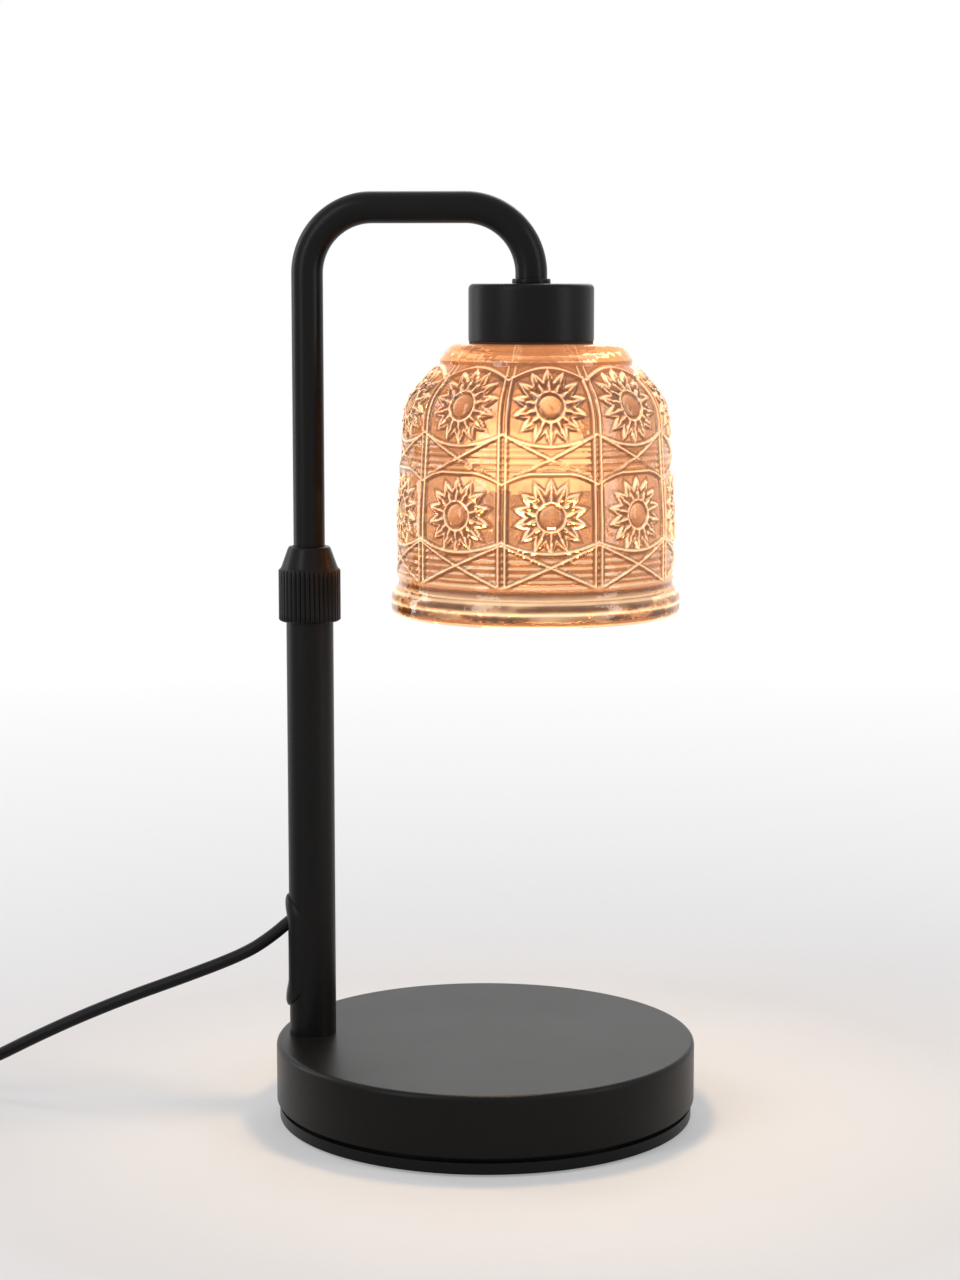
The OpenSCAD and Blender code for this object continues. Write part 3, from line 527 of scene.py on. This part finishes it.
def leaking(name, colour):
    """Coated glass reflector of the bulb: a warm mirror that lets some light through, more towards its
    open end, with a faint mosaic of facets."""
    r = Recipe(name)
    height = r.split(r.place())[2]
    cells = r.add("ShaderNodeTexVoronoi", 0, {"Vector": r.place(), "Scale": 260.0})
    heat = (1.0 - ((height - 0.239) / 0.02) ** 2 + (cells - 0.4) * 0.5).clipped()
    return r.finish(r.add("ShaderNodeBsdfPrincipled", 0, {
        "Base Color": r.blend(cells, rgba(colour, 0.5), rgba((0.6, 0.45, 0.3))),
        "Roughness": 0.35,
        "Metallic": 0.7,
        "Emission Color": r.blend(heat, rgba((1.0, 0.42, 0.16), 0.2), rgba((1.0, 0.80, 0.58))),
        "Emission Strength": 2.0,
        "Normal": r.bump(cells, 0.0004),
    }))


def glowing(name, colour, strength, x_mm, reach):
    """Frosted, lit glass of the bulb: brightest on its axis, dimmer and warmer towards its edge."""
    r = Recipe(name)
    cells = r.add("ShaderNodeTexVoronoi", 0, {"Vector": r.place(), "Scale": 420.0})
    heat = (1.15 - r.off_axis(x_mm) / reach * 0.9 + cells * 0.3).clipped()
    edge = (colour[0], colour[1] * 0.7, colour[2] * 0.5)
    return r.finish(r.add("ShaderNodeBsdfPrincipled", 0, {
        "Base Color": rgba(colour, 0.6),
        "Roughness": 0.3,
        "Emission Color": r.blend(heat, rgba(edge), rgba((1.0, 0.78, 0.45))),
        "Emission Strength": strength,
        "Normal": r.bump(cells, 0.0004),
    }))


def plain_floor(name, colour):
    """Pale matt floor that runs out into the white background with the distance from the object."""
    r = Recipe(name)
    far = ((r.off_axis() - 0.2) / 0.9).clipped()
    near = r.add("ShaderNodeBsdfPrincipled", 0, {
        "Base Color": r.blend(r.noise(6.0, 2.0), rgba(colour, 0.985), rgba(colour, 1.015)),
        "Roughness": 0.8,
        "Specular IOR Level": 0.2,
    })
    seen = r.add("ShaderNodeLightPath", "Is Camera Ray")
    for kind in ("Is Glossy Ray", "Is Transmission Ray"):
        seen = seen.maths("MAXIMUM", seen, r.add("ShaderNodeLightPath", kind))
    white = r.add("ShaderNodeEmission", 0, {0: (1, 1, 1, 1)})
    return r.finish(r.add("ShaderNodeMixShader", 0, {0: (far ** 0.6 * 0.7 + 0.3) * seen, 1: near, 2: white}))


def wear(obj, material):
    obj.data.materials.clear()
    obj.data.materials.append(material)


def shared(name, make, *args, **options):
    """The dressed material of this name, made on its first use; plain names belong to the solids' own."""
    name = "dressed_" + name
    return bpy.data.materials.get(name) or make(name, *args, **options)


def powder():
    return shared("black_powder", coated, look().coat, 0.34, 2600.0, 0.00005)


def satin():
    return shared("black_satin", coated, look().coat, 0.3, 4200.0, 0.00002)


def collar_coat():
    return shared("black_collar", coated, tuple(1.3 * c for c in look().coat), 0.3, 3000.0, 0.00002)


def moulding():
    return shared("black_moulding", coated, (0.006, 0.006, 0.0063), 0.32, 3400.0, 0.00003)


def jacket():
    return shared("cord_jacket", coated, look().cord, 0.38, 1500.0, 0.00003)


def glass():
    return shared("shade_glass", pressed_glass, look().glass)


# ---------------------------------------------------------------- the shade's pressed pattern

def rosette(across, up):
    """Height of one rosette, 0 to 1, from mm across and up from its centre: a star of fourteen kites, each
    a roof that falls off sideways from its ridge and ends at a raised zigzag edge, a smaller zigzag cut
    into it, a ring and a dome."""
    rho = np.hypot(across, up)
    phase = np.arctan2(across, up) * RAYS / TAU
    off = np.abs(phase - np.round(phase)) * 2
    edge = STAR_TIP - STAR_NOTCH * off
    kites = np.clip((edge - rho) * 0.8, 0, 1) * (1 - 0.65 * off)
    rim = 0.9 * np.clip(1 - np.abs(edge - 0.4 - rho) / 0.75, 0, 1)
    cut = np.clip(np.abs(rho - 8.6 + 2.6 * off) / 0.8, 0.25, 1)
    ring = np.clip(1 - np.abs(rho - ROSE_RING) / 0.8, 0, 1)
    dome = 0.15 + 0.85 * np.sqrt(np.clip(1 - (rho / 3.9) ** 2, 0, 1))
    star = np.maximum(np.maximum(kites * cut, rim), ring)
    return np.where(rho < 4.1, dome, np.where(rho < ROSE_RING, np.maximum(ring, 0.1), star))


def pressed(turn, height, radius):
    """Height of the whole pattern, 0 to 1, from the angle off a panel's middle, the height in mm and the
    wall's radius there: arched cell borders, upright double ribs, crossed lines with level ridges between
    the cells, and two rosettes, joined by taking the highest at each point."""
    x = turn / HALF_PANEL
    across = turn * radius
    thick = 0.95

    def line(off, width=thick):
        return np.clip(1 - np.abs(off) / width, 0, 1)

    cells = cell_borders(x)
    borders = np.max([0.9 * line(height - c) for c in cells], axis=0)
    ribs = line((1 - np.abs(x)) * 16 - RIB_OFFSET, 0.85) * (height < 266.5)
    crosses = np.max([
        line(height - middle - side * rise * x) for middle, rise in CROSSES for side in (-1, 1)], axis=0)
    level = np.max([0.62 * line(height - z) for z in LEVEL_RIDGES], axis=0)
    between = ((height < cells[1]) & (height > cells[2])) | (height < cells[3])
    roses = np.maximum(*(rosette(across, height - z) for z in ROSE_HEIGHTS))
    return np.max([borders, ribs, np.where(between, np.maximum(crosses, level), roses)], axis=0)


def shade_grid(relief, per_panel):
    """Grid of the shade's closed wall in metres: outside from the rim up, over the top, down the inside.
    The pattern stands along the wall's normal between the neck and the smooth band under the top. Also
    gives, at every point, how steep the pattern is, how far it faces down and to one side, and whether
    the wall carries it there."""
    bend = np.radians(np.linspace(0, 45, 26))[1:]
    runs = [
        ([[46.6, 182.4], [49.6, 182.4]], 2),
        ([[49.6, 182.4], [50.3, 182.9], [50.7, 183.9], [50.7, 188.6], [50.2, 190], [49.2, 191], [48.2, 192.2],
          [47.9, 193.4], [48.3, 194.8]], 12),
        ([[48.3, 194.8], [48.8, 196], [48.8, 217], [46.8, 248.8]], 96),
        (np.stack([27.7 + 19.1 * np.cos(bend), 248.8 + 19.1 * np.sin(bend)], -1), 26),
        ([[41.2, 262.3], [33.7, 270.5]], 19),
        ([[33.7, 270.5], [32.7, 272], [30.4, 275.2], [29.2, 276.1], [27.6, 276.3]], 8),
        ([[27.6, 276.3], [18.4, 276.3], [18.4, 272.6], [28, 272.6], [31, 268.4]], 7),
        ([[31, 268.4], [38.8, 259.9], [42.2, 254.9], [43.4, 248.8], [45.4, 217], [45.3, 192], [45.8, 187],
          [46.6, 182.4]], 12),
    ]
    parts = []
    for points, count in runs:
        points = np.asarray(points, float)
        length = np.concatenate([[0], np.cumsum(np.linalg.norm(np.diff(points, axis=0), axis=1))])
        at = np.linspace(0, length[-1], count, endpoint=False)
        parts.append(np.stack([np.interp(at, length, points[:, k]) for k in (0, 1)], -1))
    outline = np.vstack(parts)
    counts = [count for _, count in runs]
    patterned = sum(counts[:2]) + np.arange(sum(counts[2:5]))
    angle = FRONT_PANEL - HALF_PANEL + np.arange(PANELS * per_panel) * TAU / (PANELS * per_panel)
    turn = (angle - FRONT_PANEL + HALF_PANEL) % (2 * HALF_PANEL) - HALF_PANEL
    radius, height = (outline[patterned, k][:, None] for k in (0, 1))
    fade = np.clip((height - PATTERN_LOW) / 1.2, 0, 1) * np.clip((PATTERN_HIGH - height) / 0.6, 0, 1)
    raised = relief / MM * (pressed(turn[None, :], height, radius) - 0.9) * fade
    slope = np.gradient(outline[patterned], axis=0)
    slope /= np.linalg.norm(slope, axis=1, keepdims=True)
    r = np.repeat(outline[:, :1], len(angle), axis=1)
    z = np.repeat(outline[:, 1:], len(angle), axis=1)
    r[patterned] += raised * slope[:, 1:]
    z[patterned] -= raised * slope[:, :1]
    climb = np.gradient(raised, axis=0) / np.gradient(height, axis=0)
    step = radius * (angle[1] - angle[0])
    turnwise = (np.roll(raised, -1, axis=1) - np.roll(raised, 1, axis=1)) / (2 * step)
    # steep and lit feed the glass's painted shade and painted highlights; pattern says where the relief
    # stands
    marks = {name: np.zeros_like(r) for name in ("steep", "lit", "pattern")}
    marks["steep"][patterned] = np.clip(np.hypot(climb, turnwise) / 0.8, 0, 1)
    marks["lit"][patterned] = np.clip(-0.8 * climb + 0.5 * turnwise, -1, 1)
    marks["pattern"][patterned] = fade
    return MM * np.stack([SHADE_X + r * np.cos(angle), r * np.sin(angle), z], -1), marks


# ---------------------------------------------------------------- operators

class Step(bpy.types.Operator):
    bl_options = {"REGISTER", "UNDO"}

    def keep(self, obj, body, material, slot, *nodes):
        """Gives a piece its material and its body, and hides the solids that it stands for; slot is not used.
        """
        wear(obj, material)
        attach(obj, body)
        if nodes:
            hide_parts(*nodes)
        return obj


class LAMP_OT_camera(Step):
    """Places the camera where the lamp looks as it does in its picture"""
    bl_idname = "lamp.camera"
    bl_label = "Camera"

    def execute(self, context):
        data = bpy.data.cameras.new("camera")
        data.lens = 76.9
        camera = bpy.data.objects.new("camera", data)
        camera.location = (0.0799, -0.95484, 0.29877)
        camera.rotation_euler = Euler((math.radians(82.46), 0, math.radians(4.9)))
        context.scene.collection.objects.link(camera)
        context.scene.camera = camera
        return {"FINISHED"}


class LAMP_OT_cords(Step):
    """Makes the lead in the post, the mains cord with its tied coil, the bend sleeves and the plug's body"""
    bl_idname = "lamp.cords"
    bl_label = "Cords and plug"

    def execute(self, context):
        sizes = shape()
        width = sizes.cord_diameter
        stretch = smooth_route(STRETCH_ROUTE, 10)
        first = surface("mains_cord", swept(stretch, width / 2, 20, (0, 0, 1)))
        self.keep(first, "base", jacket(), "cord_jacket", "cord_stretch")

        inner, pitch = sizes.coil_inner, sizes.coil_pitch
        loops, centre = coil_path(inner, pitch, COIL_TURNS, COIL_LOW, COIL_STEPS)
        near, far = (inner + loop * pitch for loop in LOOPS_AT_TIE)
        start = loops[:1] - [[width, 0, 0]]
        end = loops[-1:] + [[0, width, 0]]
        route = np.vstack([smooth_route(LINK_ROUTE, 10)[:-1], start, loops, end])
        second = surface("coiled_cord", swept(route, width / 2, 20, (0, 0, 1)))
        self.keep(second, "base", jacket(), "cord_jacket", "cord_link", "cord_coil")

        tie = self.tie(centre, near, far, pitch, width)
        sleeves = self.sleeves(end[0])
        plug = self.plug(end[0])
        nodes = frame["nodes"]
        dimmer = [nodes["dimmer_" + part] for part in ("top", "bottom", "screws", "board", "pot", "wheel")]
        self.riser(width)
        dimmer + [sleeves[0]]
        return {"FINISHED"}

    def riser(self, width):
        """Lead inside the post, from where it leaves up along an arc to the post's axis, then straight up to
        the arm's lead."""
        reach = np.radians(np.linspace(RISER_TURN, 0, 24))
        away, below = RISER_BEND_R * (1 - np.cos(reach)), RISER_BEND_R * np.sin(reach)
        arc = np.stack([POST_X - away, 0 * reach, RISER_BEND_Z - below], -1)
        rise = np.linspace(RISER_BEND_Z, RISER_TOP_Z, 37)[1:]
        straight = np.stack([np.full(36, POST_X), np.zeros(36), rise], -1)
        path = np.vstack([CORD_EXIT, MM * np.vstack([arc, straight])])
        lead = surface("riser", swept(path, width / 2, 20, (0, 1, 0)))
        wear(lead, jacket())
        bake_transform(lead)
        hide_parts("riser_lead")

    def tie(self, centre, inner, outer, pitch, width):
        """Flat strap round the coil's two layers: a thin section carried round a rounded rectangle."""
        under, slack, half_wall, half_width = 0.0004, 0.0007, 0.00035, 0.0025
        near, far = inner - width / 2 - 0.0009, outer + width / 2 + slack
        top = COIL_LOW + pitch + width / 2 + slack
        loop = rounded([[near, under], [far, under], [far, top], [near, top]], [0.0022] * 4, 8)
        step = np.roll(loop, -1, axis=0) - np.roll(loop, 1, axis=0)
        step /= np.linalg.norm(step, axis=1, keepdims=True)
        section = rounded([
            [-half_wall, -half_width], [half_wall, -half_width],
            [half_wall, half_width], [-half_wall, half_width]], [0.0003] * 4, 4)
        ground = 0.00045 - under
        flat = loop[:, None] + section[None, :, :1] * np.stack([step[:, 1], -step[:, 0]], -1)[:, None]
        across = np.broadcast_to(section[None, :, 1], flat.shape[:2])
        c, s = math.cos(TIE_ANGLE), math.sin(TIE_ANGLE)
        grid = np.stack([
            centre[0] + flat[..., 0] * c - across * s,
            centre[1] + flat[..., 0] * s + across * c,
            flat[..., 1] + ground], -1)
        return self.keep(surface("strap", grid, closed=True), "base", jacket(), "cord_jacket", "coil_tie")

    def sleeves(self, plug_end):
        """Tapering bend sleeves with grooves: two on the dimmer, one on the plug."""
        made = []
        spots = [
            ((DIMMER_X, -0.037, CORD_Z), (0, 1, 0), 4.4, 2.9, 20, ("dimmer_reliefs",)),
            ((DIMMER_X, -0.093, CORD_Z), (0, -1, 0), 4.4, 2.9, 20, ()),
            (tuple(plug_end), (0, 1, 0), 2.9, 5.2, 22, ("plug_relief",)),
        ]
        for place, way, wide, narrow, length, nodes in spots:
            t = np.linspace(0, 1, 89)
            grooves = 0.55 * np.clip(np.cos(TAU * t * 7) * 2 - 0.6, 0, 1) * (t > 0.1) * (t < 0.93)
            radius = MM * (wide + (narrow - wide) * t - grooves)
            path = np.asarray(place) + np.outer(t * length * MM, way)
            sleeve = surface("sleeve", swept(path, radius, 32, (0, 0, 1)))
            made.append(self.keep(sleeve, "base", moulding(), "cord_jacket", *nodes))
        return made

    def plug(self, start):
        """Plug's body: rounded rectangles, drawn in round the grip and eased at both ends, along +Y."""
        t = np.linspace(0, 1, 61)
        ease = np.sqrt(np.clip(1 - (1 - np.clip(np.minimum(t, 1 - t) / 0.09, 0, 1)) ** 2, 0, 1))
        waist = 1 - 0.10 * np.exp(-((t - 0.42) / 0.2) ** 2)
        wide = (11.2 + 1.8 * ease) * waist
        high = (6.6 + 1.6 * ease) * waist
        angle = np.linspace(0, TAU, 72, endpoint=False)
        across, up = (np.sign(v) * np.abs(v) ** 0.42 for v in (np.cos(angle), np.sin(angle)))
        x = start[0] + MM * wide[:, None] * across
        z = start[2] + MM * high[:, None] * up
        y = np.broadcast_to((start[1] + MM * (22 + 30 * t))[:, None], x.shape)
        body = surface("plug_shell", np.stack([x, y, z], -1))
        return self.keep(body, "base", moulding(), "black_moulding", "plug_body")


class LAMP_OT_base(Step):
    """Makes the base's shell, with soft edges and the hole for the post"""
    bl_idname = "lamp.base"
    bl_label = "Base"

    def execute(self, context):
        steps, columns, under, top = 10, 256, 26.7, 28.3
        skirt = rounded(
            [[71, under], [73.4, under], [73.4, 6.9], [75, 6.9], [75, top], [71, top]],
            [1, 0.4, 0.3, 0.4, 2.0, 1], steps)
        hole_r = POST_R + 0.05
        hole = turned([[hole_r, under], [hole_r, top]], columns, POST_X)
        grid = np.concatenate([hole[:1], turned(skirt[steps:-steps], columns), hole[1:]])
        shell = surface("shell", grid, closed=True)
        self.keep(shell, "base", powder(), "black_powder", "base_shell")
        return {"FINISHED"}


class LAMP_OT_post(Step):
    """Makes the cord slot's bezel on the post and the ridged height collar"""
    bl_idname = "lamp.post"
    bl_label = "Post fittings"

    def execute(self, context):
        bezel = surface("bezel", self.bezel(), closed=True, sharp=55)
        self.keep(bezel, "base", moulding(), "black_moulding", "slot_bezel")
        collar = surface("collar", self.collar(), closed=True, sharp=50)
        self.keep(collar, "collar", collar_coat(), "black_collar", "height_collar")
        return {"FINISHED"}

    def bezel(self):
        """Frame round the slot: a section carried round an obround and laid on the post, where a point's
        distance from the post's axis is the post's radius plus the section's height."""
        u = np.linspace(0, TAU, 120, endpoint=False)

        def obround(length, width):
            """Points round a slot's shape: a circle whose halves move apart as the cosine changes sign."""
            apart = (length - width) / 2 * np.clip(np.cos(u) * 6, -1, 1)
            return np.stack([width / 2 * np.sin(u), width / 2 * np.cos(u) + apart], -1)

        sizes = (BEZEL_SIZE, SLOT_SIZE, FLARE_SIZE, NECK_SIZE)
        outer, inner, flare, neck = (obround(*size) for size in sizes)
        seat, step, back = 0.03, 0.5, -1.15
        lip = [
            (0, seat), (0, 0.4), (0.03, 0.72), (0.12, 1.05), (0.24, 1.25), (0.36, 1.3), (0.5, 1.27),
            (0.75, 1.05), (0.95, 0.75), (1, 0.55), (1, step)]
        rings = [outer + (inner - outer) * k for k, _ in lip] + [flare, flare, neck, neck]
        heights = [h for _, h in lip] + [step, back, back, seat]
        flat, high = np.array(rings), np.array(heights)[:, None]
        off = flat[..., 0]
        x = POST_X - np.sqrt((POST_R + high) ** 2 - off ** 2)
        return MM * np.stack([x, off, SLOT_Z + flat[..., 1]], -1)

    def collar(self):
        """Turned collar: over its grip, each ridge adds the half of a circle to the radius."""
        grip_r, ridge_r, low, high = 10.4, 0.6, 178.3, 196.9
        foot = [[8.5, 178.2], [10.0, 178.2], [10.35, 178.5]]
        grip = [[grip_r, z] for z in np.linspace(low + ridge_r, high - ridge_r, 9)]
        crown = [[grip_r, 196.7], [10.3, 197.0], [10.0, 197.4], [7.6, 204.0], [7.3, 204.5], [6.9, 204.8]]
        bore = [[6.0, 204.8], [5.95, 203.3], [6.9, 203.2], [8.2, 190.3], [8.5, 190.2]]
        outline = np.array(foot + grip + crown + bore)
        per_ridge = 16
        columns = per_ridge * shape().collar_ridges
        across = 2 * (np.arange(columns) % per_ridge) / per_ridge - 1
        wave = np.sqrt(1 - across ** 2)
        radius, height = outline[:, :1], outline[:, 1:]
        on_grip = np.clip((height - low) / 0.5, 0, 1) * np.clip((high - height) / 0.6, 0, 1) * (radius > 9)
        return turned(outline, columns, POST_X, ridge_r * on_grip * wave)


class LAMP_OT_arm(Step):
    """Makes the bent arm tube, the ring where it enters the holder and the holder cup"""
    bl_idname = "lamp.arm"
    bl_label = "Arm and holder"

    def execute(self, context):
        bend = np.linspace(0, TAU / 4, 40)[:, None]
        level = np.zeros_like(bend)
        height = ARM_BEND_Z + ARM_BEND_R * np.sin(bend)
        rise = [[POST_X, 0, TUBE_END_Z], [POST_X, 0, 300.0]]
        up = np.hstack([POST_X + ARM_BEND_R * (1 - np.cos(bend)), level, height])
        down = np.hstack([HOLDER_X - ARM_BEND_R * (1 - np.sin(bend)), level, height[::-1]])
        path = MM * np.vstack([rise, up, down, [[HOLDER_X, 0, 300.0], [HOLDER_X, 0, 297.0]]])
        outside, inside = (swept(path, radius * MM, 48, (0, 1, 0)) for radius in (ARM_OUTER_R, ARM_INNER_R))
        tube = surface("tube", np.concatenate([outside, inside[::-1]]), closed=True)
        self.keep(tube, "arm", satin(), "black_arm", "arm_tube")
        ring = rounded([[5.6, 296.9], [6.7, 296.9], [6.7, 298.6], [5.6, 298.6]], [0.05, 0.1, 0.5, 0.1], 6)
        entry = surface("collar_ring", turned(ring, 96, HOLDER_X), closed=True)
        self.keep(entry, "arm", satin(), "black_arm", "entry_ring")
        cup = rounded(
            [[20.35, 277.1], [21.85, 277.1], [21.85, 296.9], [4.7, 296.9], [4.7, 295.4], [20.35, 295.4]],
            [0.2, 0.4, 2.2, 0.1, 0.1, 0.6], 10)
        holder = surface("holder", turned(cup, 192, HOLDER_X), closed=True)
        self.keep(holder, "arm", powder(), "black_powder", "holder_cup")
        return {"FINISHED"}


class LAMP_OT_shade(Step):
    """Makes the pressed-glass shade"""
    bl_idname = "lamp.shade"
    bl_label = "Glass shade"

    def execute(self, context):
        sizes = shape()
        grid, marks = shade_grid(sizes.relief, sizes.glass_columns)
        wall = surface("pressed_shade", grid, closed=True, sharp=65)
        for name, values in marks.items():
            wall.data.attributes.new(name, "FLOAT", "POINT").data.foreach_set("value", values.ravel())
        self.keep(wall, "arm", glass(), "shade_glass", "glass_shade")
        return {"FINISHED"}


class LAMP_OT_dress(Step):
    """Gives every CAD node that is shown its material, by its slot in the record"""
    bl_idname = "lamp.dress"
    bl_label = "Materials of the fixed parts"

    def execute(self, context):
        recipes = {
            "pad_rubber": (coated, (0.03, 0.03, 0.03), 0.8, 1800.0, 0.0001),
            "plated_steel": (brushed, (0.62, 0.62, 0.63), 0.3, (900, 900, 60)),
            "cast_weight": (coated, (0.1, 0.1, 0.1), 0.7, 700.0, 0.0003),
            "nylon": (coated, (0.75, 0.72, 0.64), 0.45, 1500.0, 0.00002),
            "board": (coated, (0.03, 0.16, 0.07), 0.35, 900.0, 0.00003),
            "brass": (brushed, (0.75, 0.56, 0.25), 0.28, (900, 60, 900)),
            "aluminium_cup": (brushed, (0.8, 0.8, 0.81), 0.3, (200, 200, 2500)),
            "ceramic": (coated, (0.85, 0.82, 0.75), 0.25, 600.0, 0.00003),
            "gasket": (coated, (0.03, 0.03, 0.03), 0.6, 1200.0, 0.00004),
            "reflector_coating": (leaking, look().glow),
            "bulb_glass": (glowing, look().glow, look().glow_strength, HOLDER_X, 0.026),
        }
        made = {
            "plate_plastic": moulding, "black_powder": powder, "black_arm": satin,
            "black_collar": collar_coat, "black_moulding": moulding, "cord_jacket": jacket,
            "shade_glass": glass,
        }
        for part in frame["record"]["subparts"]:
            node = frame["nodes"][part["node"]]
            if not node.hide_render:
                slot = part["material_slot"]
                wear(node, made[slot]() if slot in made else shared(slot, *recipes[slot]))
        return {"FINISHED"}


class LAMP_OT_stage(Step):
    """Lays the plain floor and sets the soft lights and the white background"""
    bl_idname = "lamp.stage"
    bl_label = "Floor and lights"

    def execute(self, context):
        size = 4.0
        floor_mesh = bpy.data.meshes.new("floor")
        corners = [(-size, -size, 0), (size, -size, 0), (size, size, 0), (-size, size, 0)]
        floor_mesh.from_pydata(corners, [], [(0, 1, 2, 3)])
        floor = bpy.data.objects.new("floor", floor_mesh)
        context.scene.collection.objects.link(floor)
        wear(floor, plain_floor("floor", look().floor))
        lights = [
            ("key", (-0.75, -0.85, 0.75), 0.3, 1.2, 5.0),
            ("side", (1.0, -0.4, 0.5), 0.25, 1.0, 3.2),
            ("back", (0.1, 1.1, 0.9), 0.7, 0.7, 3.5),
            ("edge", (-0.95, 0.35, 0.45), 0.2, 0.9, 2.2),
        ]
        aim = Vector((0, 0, 0.16))
        for name, place, wide, tall, power in lights:
            data = bpy.data.lights.new(name, "AREA")
            data.shape = "RECTANGLE"
            data.energy, data.size, data.size_y = power, wide, tall
            light = bpy.data.objects.new(name, data)
            light.location = place
            light.rotation_euler = (aim - Vector(place)).to_track_quat("-Z", "Y").to_euler()
            context.scene.collection.objects.link(light)
        self.sky(context.scene)
        context.scene.view_settings.view_transform = "Standard"
        return {"FINISHED"}

    def sky(self, scene):
        world = bpy.data.worlds.new("studio")
        scene.world = world
        world.use_nodes = True
        nodes, links = world.node_tree.nodes, world.node_tree.links
        nodes.clear()
        path = nodes.new("ShaderNodeLightPath")
        seen = path.outputs["Is Camera Ray"]
        for name in ("Is Glossy Ray", "Is Transmission Ray"):
            either = nodes.new("ShaderNodeMath")
            either.operation = "MAXIMUM"
            links.new(seen, either.inputs[0])
            links.new(path.outputs[name], either.inputs[1])
            seen = either.outputs[0]
        soft, white = nodes.new("ShaderNodeBackground"), nodes.new("ShaderNodeBackground")
        soft.inputs["Color"].default_value = (0.9, 0.93, 1.0, 1)
        soft.inputs["Strength"].default_value = 0.35
        white.inputs["Color"].default_value = (1, 1, 1, 1)
        mix, out = nodes.new("ShaderNodeMixShader"), nodes.new("ShaderNodeOutputWorld")
        links.new(seen, mix.inputs[0])
        links.new(soft.outputs[0], mix.inputs[1])
        links.new(white.outputs[0], mix.inputs[2])
        links.new(mix.outputs[0], out.inputs["Surface"])


STEPS = [
    LAMP_OT_camera, LAMP_OT_cords, LAMP_OT_base, LAMP_OT_post, LAMP_OT_arm, LAMP_OT_shade, LAMP_OT_dress,
    LAMP_OT_stage,
]


class LAMP_PT_panel(bpy.types.Panel):
    bl_label = "Lamp"
    bl_idname = "LAMP_PT_panel"
    bl_space_type = "VIEW_3D"
    bl_region_type = "UI"
    bl_category = "Lamp"

    def draw(self, context):
        for group in (context.scene.lamp_shape, context.scene.lamp_look):
            box = self.layout.box()
            for name in group.bl_rna.properties.keys():
                if name not in ("rna_type", "name"):
                    box.prop(group, name)
        for step in STEPS:
            self.layout.operator(step.bl_idname)


CLASSES = [LampShape, LampLook, *STEPS, LAMP_PT_panel]


def register():
    for item in CLASSES:
        bpy.utils.register_class(item)
    bpy.types.Scene.lamp_shape = PointerProperty(type=LampShape)
    bpy.types.Scene.lamp_look = PointerProperty(type=LampLook)


def unregister():
    del bpy.types.Scene.lamp_look
    del bpy.types.Scene.lamp_shape
    for item in reversed(CLASSES):
        bpy.utils.unregister_class(item)


def main():
    register()
    for step in STEPS:
        group, name = step.bl_idname.split(".")
        if getattr(getattr(bpy.ops, group), name)() != {"FINISHED"}:
            raise RuntimeError(f"{step.bl_idname} didn't finish")


if __name__ == "__main__":
    main()
